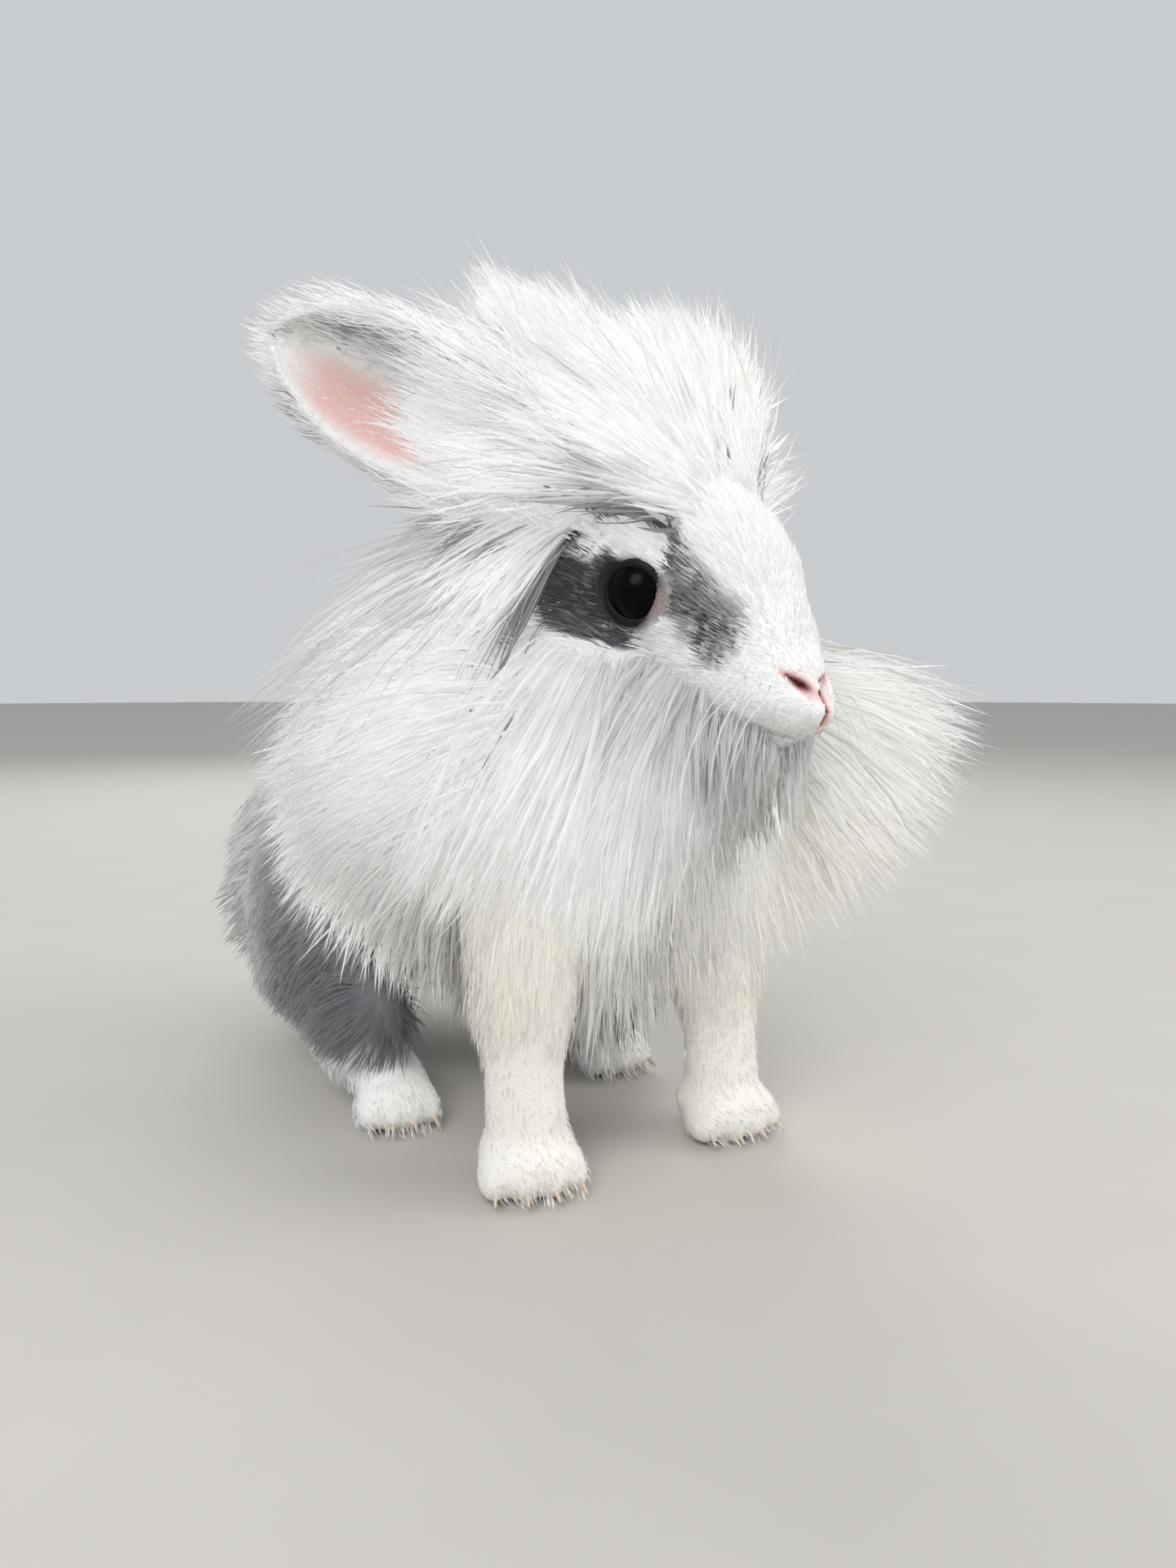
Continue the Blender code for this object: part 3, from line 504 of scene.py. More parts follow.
def mixed(tree, amount, under, over, blend="MIX"):
    """One colour over another by an amount from 0 to 1, each a socket or a colour."""
    made = add(tree, "ShaderNodeMix", data_type="RGBA", blend_type=blend, clamp_result=True)
    for key, value in ((0, amount), (6, under), (7, over)):
        if isinstance(value, bpy.types.NodeSocket):
            tree.links.new(value, made.inputs[key])
        else:
            made.inputs[key].default_value = value
    return made.outputs[2]


def fitted(tree, source, low, high, first, last):
    """A value taken from the range low to high to the range first to last."""
    return add(tree, "ShaderNodeMapRange", {1: low, 2: high, 3: first, 4: last}, {0: source}).outputs[0]


def noise_on(tree, scale, detail, **more):
    """Noise over the object's own coordinates, in metres."""
    where = add(tree, "ShaderNodeTexCoord")
    values = {"Scale": scale, "Detail": detail, **more}
    return add(tree, "ShaderNodeTexNoise", values, {"Vector": where.outputs["Object"]}).outputs["Fac"]


def finish_surface(tree, shader, colour, height=None, strength=0.0, distance=0.0):
    """Gives the shader its colour and, from a height, its bump."""
    tree.links.new(colour, shader.inputs["Base Color"])
    if height is not None:
        bump = add(tree, "ShaderNodeBump", {"Strength": strength, "Distance": distance}, {"Height": height})
        tree.links.new(bump.outputs[0], shader.inputs["Normal"])


def coat_colour(tree, look):
    """The colour of the coat and of the skin under it, from the same four amounts on both."""
    marks = add(tree, "ShaderNodeAttribute", attribute_name="markings")
    split = add(tree, "ShaderNodeSeparateColor", links={0: marks.outputs["Color"]})
    pink = fitted(tree, marks.outputs["Alpha"], 0.0, 0.5, 0.0, 1.0)
    deep = fitted(tree, marks.outputs["Alpha"], 0.5, 1.0, 0.0, 1.0)
    colour = mixed(tree, split.outputs[2], rgba(look.white), rgba(look.cream))
    colour = mixed(tree, split.outputs[0], colour, rgba(look.grey))
    colour = mixed(tree, split.outputs[1], colour, rgba(look.dark))
    colour = mixed(tree, pink, colour, rgba(look.bare))
    # Deep red of the nostril slits and the split of the lip: partly the skin's own red, partly painted shade
    # in the slits.
    return mixed(tree, deep, colour, rgba(look.nose))


def coat_material(look):
    """Rabbit coat: fine guard hair over down. Matt, with a little sheen, each lock a shade off the next, and
    drawn along each lock single hairs about 0.2 mm apart, which are too fine for a mesh, with painted shade in
    the gaps between them."""
    surface, tree, shader = new_material("rabbit_guard_hair", {
        "Roughness": 0.7, "Specular IOR Level": 0.3, "Sheen Weight": 0.3, "Sheen Roughness": 0.5})
    colour = coat_colour(tree, look)
    strand = add(tree, "ShaderNodeAttribute", attribute_name="strand")
    split = add(tree, "ShaderNodeSeparateColor", links={0: strand.outputs["Color"]})
    along, lock, across = split.outputs[:3]
    root = fitted(tree, along, 0.0, 0.6, 0.3, 0.0)
    colour = mixed(tree, root, colour, rgba(look.root), "MULTIPLY")
    vary = fitted(tree, lock, 0.0, 1.0, 0.0, 0.22)
    colour = mixed(tree, vary, colour, rgba(look.shade), "MULTIPLY")
    grid = add(tree, "ShaderNodeCombineXYZ", links={0: across, 1: strand.outputs["Alpha"], 2: lock})
    grid = add(tree, "ShaderNodeVectorMath", {1: HAIR_GRID}, {0: grid.outputs[0]}, operation="MULTIPLY")
    hairs = add(tree, "ShaderNodeTexNoise", {"Scale": 1.0, "Detail": 2.0}, {"Vector": grid.outputs[0]})
    hairs = hairs.outputs["Fac"]
    # Painted shade: the colour is darker in the gaps between the drawn hairs.
    between = fitted(tree, hairs, 0.36, 0.62, 0.48, 0.0)
    colour = mixed(tree, between, colour, rgba(look.shade), "MULTIPLY")
    finish_surface(tree, shader, colour, hairs, 0.35, 0.0002)
    return surface


def skin_material(look):
    """Skin under short down: matt, with a nap of about 0.7 mm drawn as bump."""
    surface, tree, shader = new_material("rabbit_down_on_skin", {"Roughness": 0.8, "Specular IOR Level": 0.2})
    nap = noise_on(tree, 1400.0, 3.0, Roughness=0.65)
    patchy = fitted(tree, nap, 0.3, 0.75, 0.25, 0.0)
    colour = mixed(tree, patchy, coat_colour(tree, look), rgba(look.root), "MULTIPLY")
    finish_surface(tree, shader, colour, nap, 0.5, 0.0005)
    return surface


def two_toned(name, first, second, scale, values):
    """A material of two close colours, mixed by noise over the object's own coordinates."""
    surface, tree, shader = new_material(name, values)
    finish_surface(tree, shader, mixed(tree, noise_on(tree, scale, 2.0), rgba(first), rgba(second)))
    return surface


def whisker_material():
    """Whisker: a stiff clear hair, so smooth and a little glossy."""
    return two_toned("clear_white_whisker", "#F6F4EF", "#DCD8D0", 300.0, {"Roughness": 0.35})


def claw_material():
    """Claw: horn grown in layers, smooth, pale brown, with faint streaks of about 1 mm."""
    return two_toned("pale_horn_claw", "#E3D6C4", "#BCA791", 700.0, {"Roughness": 0.38})


def eye_material():
    """Wet black eye: a dark brown iris deep under a clear cornea, smooth, with a faint highlight."""
    return two_toned("wet_dark_cornea", "#020202", "#0B0807", 500.0,
                     {"Roughness": 0.2, "Specular IOR Level": 0.06})


def floor_material():
    """Painted studio board: pale and matt, with a faint unevenness a few centimetres across."""
    return two_toned("pale_studio_board", "#BFBBB5", "#C5C1BB", 25.0, {"Roughness": 0.9})


def lid_material():
    """Bare lid rim: thin moist skin, near black, dusky pink at its front corner, with fine creases."""
    surface, tree, shader = new_material("bare_lid_skin", {"Roughness": 0.5, "Specular IOR Level": 0.2})
    corner = add(tree, "ShaderNodeAttribute", attribute_name="corner")
    split = add(tree, "ShaderNodeSeparateColor", links={0: corner.outputs["Color"]})
    crease = noise_on(tree, 900.0, 3.0)
    rim = mixed(tree, crease, rgba("#0A0808"), rgba("#191416"))
    finish_surface(tree, shader, mixed(tree, split.outputs[0], rim, rgba("#85505A")), crease, 0.4, 0.0003)
    return surface


# Settings shown in the panel.


def colour_prop(name, about, code):
    return bpy.props.FloatVectorProperty(name=name, description=about, default=linear(code), size=3, min=0.0,
                                         max=1.0, subtype="COLOR")


def length_prop(name, about, mm):
    return bpy.props.FloatProperty(name=name, description=about, default=mm * MM, min=0.0, unit="LENGTH",
                                   subtype="DISTANCE")


class RabbitCoat(bpy.types.PropertyGroup):
    """Colours of coat, skin and eyes."""

    white: colour_prop("White", "Colour of the white coat", "#FAFAF9")
    cream: colour_prop("Cream", "Warm tone of chest and forelegs", "#F1E6D2")
    grey: colour_prop("Grey", "Blue-grey of flanks and the streak behind the eye", "#88888D")
    dark: colour_prop("Dark", "Darkest grey, round the eye", "#2C2E33")
    bare: colour_prop("Bare skin", "Pink of the ear's bare inside and round the nostrils", "#EDC3BE")
    # Nose: partly the skin's own red, partly painted shade in the nostril slits and the split of the lip.
    nose: colour_prop("Nose", "Deep red in the nostrils and the split of the lip", "#4E1619")
    root: colour_prop("Root", "What darkens a tuft toward its root", "#CBCDD0")
    # Shade gives each tuft its own tone, and also the painted shade between the drawn hairs.
    shade: colour_prop("Shade", "What sets one tuft off from the next", "#C2C4C8")


class RabbitSizes(bpy.types.PropertyGroup):
    """Lengths of the coat."""

    mane: length_prop("Mane", "Longest hair of cheeks and beard", MANE_LENGTH)
    crown: length_prop("Crown", "Hair swept over the crown", 46.0)
    ruff: length_prop("Ruff", "Hair round neck and shoulders", 37.0)
    body: length_prop("Body coat", "Coat of back and flanks", 12.0)
    skin_cell: length_prop("Skin detail", "Edge of the skin's faces", 1.25)


# The skin. What the coat needs to know of it is kept in SKIN.

SKIN = {}


def array_of(items, name, width=1, kind=np.float64):
    """One property of many mesh items as an array."""
    values = np.zeros(len(items) * width, np.float32 if kind == np.float64 else np.int32)
    items.foreach_get(name, values)
    return values.reshape(-1, width).astype(kind) if width > 1 else values.astype(kind)


def tree_of(spots):
    """A search tree over places."""
    tree = KDTree(len(spots))
    for i, spot in enumerate(spots):
        tree.insert(spot, i)
    tree.balance()
    return tree


def part_finder(parts):
    """For places on the skin, the part whose form lies nearest."""
    spots = [(v.co.copy(), PARTS.index(name)) for name, bm in parts for v in bm.verts]
    tree = tree_of([spot for spot, _ in spots])
    return lambda points: np.array([spots[tree.find(p)[1]][1] for p in points])


def on_ear(points):
    """For places on the ears: side, how far across from -1 to 1, and how far along from 0 to 1."""
    find = SKIN["ear_tree"].find
    return SKIN["ear_spots"][[find(p)[1] for p in points]]


def ear_way(place, which):
    """For places on the ears, the lean (0) or the open side's direction (1) of the ear that each lies on."""
    return np.where(place[:, :1] > 0, np.array(ear_ways(1)[which]), np.array(ear_ways(-1)[which]))


def ear_bare(points, normals, labels):
    """How bare an ear's inside is, from 0 to 0.5, fading toward its rim, its tip and its root."""
    place = on_ear(points)
    inside = ramp((normals * ear_way(place, 1)).sum(1), 0.0, 0.35)
    wide = np.where(place[:, 0] > 0, 0.7, 0.96)
    bare = inside * ramp(np.abs(place[:, 1]), wide, wide - 0.34) * ramp(place[:, 2], 0.98, 0.8)
    bare *= np.where(place[:, 0] > 0, 0.45, ramp(place[:, 1], 0.25, -0.2) * ramp(place[:, 2], 0.36, 0.54))
    return 0.5 * bare * (labels == PARTS.index("ear"))


def set_points(mesh, name, values):
    """Writes four amounts a point as a colour attribute."""
    layer = mesh.attributes.new(name, "FLOAT_COLOR", "POINT")
    layer.data.foreach_set("color", values.astype(np.float32).ravel())


def face_detail(bm):
    """Nostrils, the split of the lip, the mouth line and the raised flesh of the lids, moved in the skin."""
    back = HEAD.inverted()
    mouth = [(30.0 + 10.5 * math.cos(a), 11.0 * math.sin(a), -14.0 - 2.6 * abs(math.sin(a)))
             for a in [math.radians(-80 + 10 * k) for k in range(17)]]
    verts = [v for v in bm.verts if (back @ v.co).length < 60]
    s, l, u = (np.array(c) for c in zip(*[(back @ v.co) for v in verts]))
    slit = nostril(s, l, u)
    ring = np.exp(-((np.hypot(s - 0.5, (u - 0.5) * 1.06) - 8.2) / 1.9) ** 2) * ramp(np.abs(l), 9.0, 12.0)
    for i, v in enumerate(verts):
        depth = 2.3 * slit[i] - 1.5 * ring[i]
        if s[i] > 26 and abs(l[i]) < 14 and u[i] < -9:
            near = min((Vector((s[i], l[i], u[i])) - Vector(m)).length for m in mouth)
            depth = max(depth, 1.4 * math.exp(-(near / 1.2) ** 2))
        v.co -= v.normal * depth


def bake_modifiers(thing):
    """Makes the object's mesh what its modifiers give, and clears them."""
    bpy.context.view_layer.update()
    shape = bpy.data.meshes.new_from_object(thing.evaluated_get(bpy.context.evaluated_depsgraph_get()))
    thing.modifiers.clear()
    thing.data = shape


def joined_skin(parts, cell):
    """One closed, smoothed skin over every form, with finer faces and its detail on the face."""
    joined = bmesh.new()
    for _, form in parts:
        merge_in(joined, form)
    body = object_from("coat_skin", joined)
    remesh = body.modifiers.new("one skin", "REMESH")
    remesh.mode = "VOXEL"
    remesh.voxel_size = cell / MM
    bake_modifiers(body)
    bm = bmesh.new()
    bm.from_mesh(body.data)
    for _ in range(7):
        bmesh.ops.smooth_vert(bm, verts=bm.verts, factor=0.5, use_axis_x=True, use_axis_y=True,
                              use_axis_z=True)
    back = HEAD.inverted()
    front = [f for f in bm.faces if (back @ f.calc_center_median()).x > 20 and f.calc_center_median().z > 80]
    edges = list({e for f in front for e in f.edges})
    bmesh.ops.subdivide_edges(bm, edges=edges, cuts=1, use_grid_fill=True, smooth=0.3)
    bm.normal_update()
    face_detail(bm)
    bmesh.ops.triangulate(bm, faces=bm.faces)
    bm.to_mesh(body.data)
    bm.free()
    return body


def join_ears(body):
    """Joins both ears to the skin, and keeps where each point of their grids lies."""
    sheets = [(side, *ear_sheet(side)) for side, _ in SIDES]
    ears = [object_from("ear_form", bm) for _, bm, _ in sheets]
    spots = [(p, side, across, t) for side, _, grid in sheets for p, across, t in grid]
    SKIN["ear_tree"] = tree_of([spot[0] for spot in spots])
    SKIN["ear_spots"] = np.array([spot[1:] for spot in spots])
    for ear in ears:
        union = body.modifiers.new("ear", "BOOLEAN")
        union.operation = "UNION"
        union.solver = "MANIFOLD"
        union.object = ear
    bake_modifiers(body)
    for ear in ears:
        bpy.data.objects.remove(ear)
    bm = bmesh.new()
    bm.from_mesh(body.data)
    bmesh.ops.triangulate(bm, faces=bm.faces)
    bm.to_mesh(body.data)
    bm.free()


def unwrap(thing):
    """Unwraps the skin by its own shape into its bake map."""
    thing.data.uv_layers.new(name="OFBake")
    bpy.context.view_layer.objects.active = thing
    thing.select_set(True)
    bpy.ops.object.mode_set(mode="EDIT")
    bpy.ops.mesh.select_all(action="SELECT")
    bpy.ops.uv.smart_project(angle_limit=math.radians(66), island_margin=0.002)
    bpy.ops.object.mode_set(mode="OBJECT")
    thing.select_set(False)


def build_skin(cell):
    """The skin with its ears, its markings at each point and its bake map. SKIN keeps it for the coat."""
    parts = flesh_parts()
    find = part_finder(parts)
    body = joined_skin(parts, cell)
    join_ears(body)
    shape = body.data
    points = array_of(shape.vertices, "co", 3)
    labels = find(points)
    near_ear = np.array([SKIN["ear_tree"].find(p)[2] for p in points])
    labels[near_ear < 2.6] = PARTS.index("ear")
    marks = markings(points, labels)
    marks[:, 3] = np.maximum(marks[:, 3], ear_bare(points, array_of(shape.vertices, "normal", 3), labels))
    set_points(shape, "markings", marks)
    shape.polygons.foreach_set("use_smooth", np.ones(len(shape.polygons), bool))
    unwrap(body)
    shape = body.data
    corners = array_of(shape.loops, "vertex_index", kind=np.int64).reshape(-1, 3)
    uv = array_of(shape.uv_layers["OFBake"].data, "uv", 2).reshape(-1, 3, 2)
    normals = array_of(shape.vertices, "normal", 3)
    SKIN.update(points=points, faces=corners, normals=normals, labels=labels, uv=uv,
                tree=BVHTree.FromPolygons([tuple(p) for p in points], [tuple(c) for c in corners]))
    shape.transform(TO_ROW)
    return body


# The coat. Tufts are rooted on the skin, given a path each, and made into blades.


def unit(v):
    return v / np.maximum(np.linalg.norm(v, axis=-1, keepdims=True), 1e-9)


def roots_on(parts, density, draw):
    """Places on the skin's faces, more where the density, in tufts a square centimetre, is greater. With each,
    the way out of the skin, its place in the bake map and its part."""
    pts, faces = SKIN["points"], SKIN["faces"]
    a, b, c = pts[faces[:, 0]], pts[faces[:, 1]], pts[faces[:, 2]]
    area = np.linalg.norm(np.cross(b - a, c - a), axis=1) / 2
    middle = (a + b + c) / 3
    label = SKIN["labels"][faces[:, 0]]
    inside = np.isin(label, [PARTS.index(p) for p in parts])
    normal = unit(np.cross(b - a, c - a))
    want = np.where(inside, area * density(middle, normal) / 100.0, 0.0)
    count = np.floor(want + draw.random(len(want))).astype(int)
    pick = np.repeat(np.arange(len(faces)), count)
    r = draw.random((len(pick), 2))
    flip = r.sum(1) > 1
    r[flip] = 1 - r[flip]
    weights = np.stack([1 - r.sum(1), r[:, 0], r[:, 1]], axis=1)[:, :, None]
    corner = faces[pick]
    root = (pts[corner] * weights).sum(1)
    out = unit((SKIN["normals"][corner] * weights).sum(1))
    uv = (SKIN["uv"][pick] * weights).sum(1)
    return root, out, uv, label[pick]


def paths_of(root, out, lie, length, rise, draw, steps, curl, gather, group, droop=0.0, keep_out=None,
             flat=0.4):
    """Each tuft's line from its root: out along the skin's normal, then over to its lie, kept off the skin
    where keep_out is given, with neighbours drawn into small locks and those into wider ones."""
    count = len(root)
    lie = unit(lie)
    lie = unit(lie - out * np.minimum((lie * out).sum(1) * (1 - flat), 0.0)[:, None])
    shared = np.stack([wobble(root, 11.0, seed) for seed in (71, 72, 73)], axis=1)
    lie = unit(lie + shared * curl * 0.9)
    first = unit(out * rise[:, None] + lie * (1 - rise[:, None]))
    stray = draw.normal(size=(count, 3)) * curl
    wave = draw.normal(size=(count, 3)) * curl * 0.7
    path = [root - out * 0.5]
    spot = root.copy()
    step = (length / steps)[:, None]
    for k in range(1, steps + 1):
        t = k / steps
        way = first * (1 - t) ** 1.3 + (lie + stray * t) * (1 - (1 - t) ** 1.3)
        way = way + wave * math.sin(4.5 * t) + np.array((0, 0, -droop * t))
        spot = spot + unit(way) * step
        if keep_out is not None:
            spot = pushed_out(spot, keep_out * (0.35 + t))
        path.append(spot.copy())
    path = np.stack(path, axis=1)
    for size, pull in ((group, gather), (group * 5, gather * 0.7)):
        path = gathered(path, root + out * 2, draw, size, pull)
    path[:, :, 2] = np.maximum(path[:, :, 2], LOWEST_HAIR)
    return path


def gathered(path, spots, draw, size, pull):
    """Draws each tuft toward the nearest of a few chosen ones, more toward its tip."""
    count, steps = path.shape[0], path.shape[1] - 1
    centres = draw.choice(count, max(count // size, 1), replace=False)
    tree = tree_of(spots[centres])
    near = np.array([centres[tree.find(p)[1]] for p in spots])
    t = np.linspace(0, 1, steps + 1)[None, :, None]
    amount = pull * draw.uniform(0.4, 1.0, (count, 1, 1)) * t ** 1.4
    own = path - path[:, :1]
    led = path[near] - path[near][:, :1]
    reach = np.linalg.norm(own[:, -1:], axis=2, keepdims=True) / np.maximum(
        np.linalg.norm(led[:, -1:], axis=2, keepdims=True), 1e-6)
    meet = path[near][:, :1] + led * np.clip(reach, 0.5, 1.3)
    return blended(path, meet, amount)


def skin_facing(spots):
    """The skin's outward direction nearest each place."""
    find = SKIN["tree"].find_nearest
    return np.array([find(p)[1] for p in spots])


def pushed_out(spots, keep):
    """Moves places that lie in the skin, or nearer it than keep, out along its normal."""
    find = SKIN["tree"].find_nearest
    moved = spots.copy()
    for i, p in enumerate(spots):
        near, normal, _, _ = find(p, 16.0)
        if near is None:
            continue
        d = (p[0] - near[0]) * normal[0] + (p[1] - near[1]) * normal[1] + (p[2] - near[2]) * normal[2]
        if d < keep:
            moved[i] = [p[k] + normal[k] * (keep - d) for k in range(3)]
    return moved


def blade_faces(rings):
    """The corners of one blade's faces in a row, and how many each has: its sides, its tip and its root."""
    quads = [[r * 3 + j, r * 3 + 3 + j, r * 3 + 3 + (j + 1) % 3, r * 3 + (j + 1) % 3]
             for r in range(rings - 1) for j in range(3)]
    last = (rings - 1) * 3
    tris = [[last + j, last + 3, last + (j + 1) % 3] for j in range(3)] + [[0, 1, 2]]
    return np.array([i for f in quads + tris for i in f]), np.array([4] * len(quads) + [3] * len(tris))


def blades(name, verts, loops, sizes):
    """A mesh of equal blades from the vertices of each, in millimetres."""
    count, each = verts.shape[:2]
    offset = np.arange(count)[:, None]
    starts = np.concatenate([[0], np.cumsum(sizes)[:-1]])
    all_loops = (loops[None, :] + offset * each).ravel()
    all_starts = (starts[None, :] + offset * len(loops)).ravel()
    mesh = bpy.data.meshes.new(name)
    mesh.vertices.add(count * each)
    mesh.vertices.foreach_set("co", (verts.reshape(-1, 3) + np.array(SHIFT)).astype(np.float32).ravel() * MM)
    mesh.loops.add(len(all_loops))
    mesh.loops.foreach_set("vertex_index", all_loops.astype(np.int32))
    mesh.polygons.add(len(all_starts))
    mesh.polygons.foreach_set("loop_start", all_starts.astype(np.int32))
    mesh.polygons.foreach_set("use_smooth", np.ones(len(all_starts), bool))
    mesh.update(calc_edges=True)
    return mesh


def blade_normals(path, out, side, up, loops, sizes, toward):
    """Normals at each corner: the outside faces away from the skin, or partly toward a given direction, and
    the underside faces back to it."""
    count, rings = side.shape[:2]
    facing = skin_facing(path[:, 1:].reshape(-1, 3)).reshape(count, rings, 3)
    facing = unit(facing * 0.6 + out[:, None, :] * 0.4 + toward)
    around = np.stack([facing + side * 0.45, facing + up * 0.3, facing - side * 0.45], axis=2)
    soft = np.concatenate([around.reshape(count, rings * 3, 3), facing[:, -1:]], axis=1)
    under = np.stack([side * 0.4 - up, -up, -side * 0.4 - up], axis=2)
    under = np.concatenate([under.reshape(count, rings * 3, 3), -up[:, -1:]], axis=1)
    below = np.repeat([False, False, True] * rings + [True], sizes)
    normals = np.where(below[None, :, None], under[:, loops], soft[:, loops]).reshape(-1, 3)
    return unit(normals).astype(np.float32)


def tuft_mesh(name, path, out, width, flat, uv, marks, draw, toward):
    """All tufts of a piece as one mesh: each a closed three-sided blade, thin at its root, gone at its tip.
    The attribute strand holds how far along a point lies, its tuft's shade, and its millimetres across and
    along."""
    count, rings = path.shape[0], path.shape[1] - 1
    t = np.linspace(0, 1, rings + 1)[:-1]
    taper = np.where(t < 0.3, 0.6 + 1.33 * t, 1.0 - 0.85 * (np.maximum(t - 0.3, 0) / 0.7) ** 1.2)
    run = np.empty((count, rings, 3))
    run[:, 0] = path[:, 1] - path[:, 0]
    run[:, 1:] = path[:, 2:] - path[:, :-2]
    run = unit(run)
    roll = unit(out + draw.normal(size=(count, 3)) * 0.35)
    side = unit(np.cross(run, roll[:, None, :]))
    up = np.cross(side, run)
    half = (width[:, None] / 2 * taper[None, :])[:, :, None]
    middle = path[:, :-1]
    corners = np.stack([middle + side * half, middle + up * (half * flat), middle - side * half], axis=2)
    verts = np.concatenate([corners.reshape(count, rings * 3, 3), path[:, -1:]], axis=1)
    loops, sizes = blade_faces(rings)
    mesh = blades(name, verts, loops, sizes)
    each = verts.shape[1]
    along = np.repeat(np.linspace(0, 1, rings + 1), [3] * rings + [1])
    strand = np.zeros((count, each, 4))
    strand[:, :, 0] = along[None, :]
    strand[:, :, 1] = draw.random(count)[:, None]
    strand[:, :-1, 2] = (half * np.array((1.0, 0.0, -1.0))).reshape(count, -1)
    strand[:, :, 3] = along * np.linalg.norm(np.diff(path, axis=1), axis=2).sum(1)[:, None]
    set_points(mesh, "markings", np.repeat(marks[:, None, :], each, axis=1).reshape(-1, 4))
    set_points(mesh, "strand", strand.reshape(-1, 4))
    edge = BAKE_PATCH / 2
    patch = np.stack([np.array([0.0, edge, BAKE_PATCH] * rings + [edge]), along * BAKE_PATCH], axis=1)
    spots = np.clip(uv[:, None, :] + patch[None, loops, :] - edge, 0.0, 1.0)
    mesh.uv_layers.new(name="OFBake").data.foreach_set("uv", spots.astype(np.float32).ravel())
    if mesh.validate():
        raise RuntimeError(name + " has broken faces")
    mesh.normals_split_custom_set(blade_normals(path, out, side, up, loops, sizes, toward))
    return mesh


def round_head(l, u):
    """Angle round the head in degrees, from 0 at the crown to 180 at the chin."""
    return np.degrees(np.arctan2(np.abs(l), u + 2.0))


def head_lie(root):
    """The lie of the long hair on the head: swept back over the crown, out and down at the sides, down at the
    chin."""
    s, l, u = head_place(root)
    angle = round_head(l, u)
    right, left = (np.stack([np.interp(angle, angles, row) for row in rows], axis=1)
                   for angles, rows in ((RIGHT_ANGLES, RIGHT_LIE), (LEFT_ANGLES, LEFT_LIE)))
    on_right = l[:, None] < 0
    lie = np.where(on_right, right, left)
    muzzle = ramp(s, 14.0, 26.0) * ramp(u, 0.0, -8.0)
    lie = blended(lie, np.array((0.0, -0.1, -1.0)), muzzle[:, None])
    crest = ramp(s, -18.0, -8.0) * ramp(l, -7.0, 2.0) * ramp(l, 16.0, 9.0) * ramp(u, 14.0, 20.0)
    lie = blended(lie, np.array((0.05, 0.34, 1.0)), crest[:, None])
    curtain = ramp(s, -10.0, -15.0) * ramp(s, -33.0, -22.0) * ramp(u, 18.0, 8.0) * ramp(l, 2.0, -2.0)
    lie = lie + curtain[:, None] * np.array((0.42, -0.3, -0.4))
    behind = ramp(s, -6.0, -30.0)[:, None]
    return unit(lie + behind * np.where(on_right, np.array((-0.3, 0.35, 0.1)), np.array((0.0, 0.35, -0.1))))


def mane_length(root, longest, crown, draw):
    """Length of the long hair on the head: longest at the right cheek, shorter over brow and muzzle."""
    s, l, u = head_place(root)
    angle = round_head(l, u)
    right, left = (np.interp(angle, *lengths) * crown for lengths in (RIGHT_LENGTHS, LEFT_LENGTHS))
    length = np.where(l < 0, right, left) * longest / MANE_LENGTH
    length *= (0.25 + 0.75 * head_long(root)) * (0.5 + 0.55 * draw.beta(4.0, 1.6, len(root)))
    length *= 1 - 0.45 * ramp(s, -10.0, -24.0) * ramp(angle, 80.0, 55.0) * (l < 0)
    length *= ((1 - 0.45 * ramp(s, 12.0, 27.0)) * (1 - 0.35 * ramp(s, 27.0, 35.0))
               * (1 - 0.5 * ramp(s, -8.0, 6.0) * ramp(u, 12.0, 18.0)))
    return length * (1 + 0.22 * ramp(s, -18.0, -26.0) * ramp(angle, 45.0, 65.0) * (l < 0))


def far_side(points):
    """The left cheek stands out as a fan, so its hair is denser."""
    return 1 + 0.5 * ramp(head_place(points)[1], 4.0, 12.0)


# The operators, one for each piece or group of pieces.


def take_over(thing, surface, slot, *nodes):
    """Gives the piece its material, sets it on the body and hides the solids that it stands for.
    The slot is not used.
    """
    thing.data.materials.clear()
    thing.data.materials.append(surface)
    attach(thing, "root")
    if nodes:
        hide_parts(*nodes)


def coat_piece(name, look, path, out, width, uv, marks, draw, flat=TUFT_FLAT, slot="white_coat", toward=0.0):
    """A piece of the coat. In the render it casts no shadow: hair lets light through, while whole tufts would
    leave dark gaps between them."""
    thing = bpy.data.objects.new(name, tuft_mesh(name, path, out, width, flat, uv, marks, draw, toward))
    bpy.context.scene.collection.objects.link(thing)
    thing.visible_shadow = False
    take_over(thing, bpy.data.materials.get("rabbit_guard_hair") or coat_material(look), slot)


class RABBIT_OT_skin(bpy.types.Operator):
    """One skin from nose to tail, with ears"""

    bl_idname = "rabbit.skin"
    bl_label = "Skin"

    def execute(self, context):
        skin = build_skin(context.scene.rabbit_sizes.skin_cell)
        surface = skin_material(context.scene.rabbit_coat)
        take_over(skin, surface, "white_coat", "head", "neck", "torso", "tail", "foreleg_left",
                  "foreleg_right", "hindleg_left", "hindleg_right", "ear_left", "ear_right")
        return {"FINISHED"}


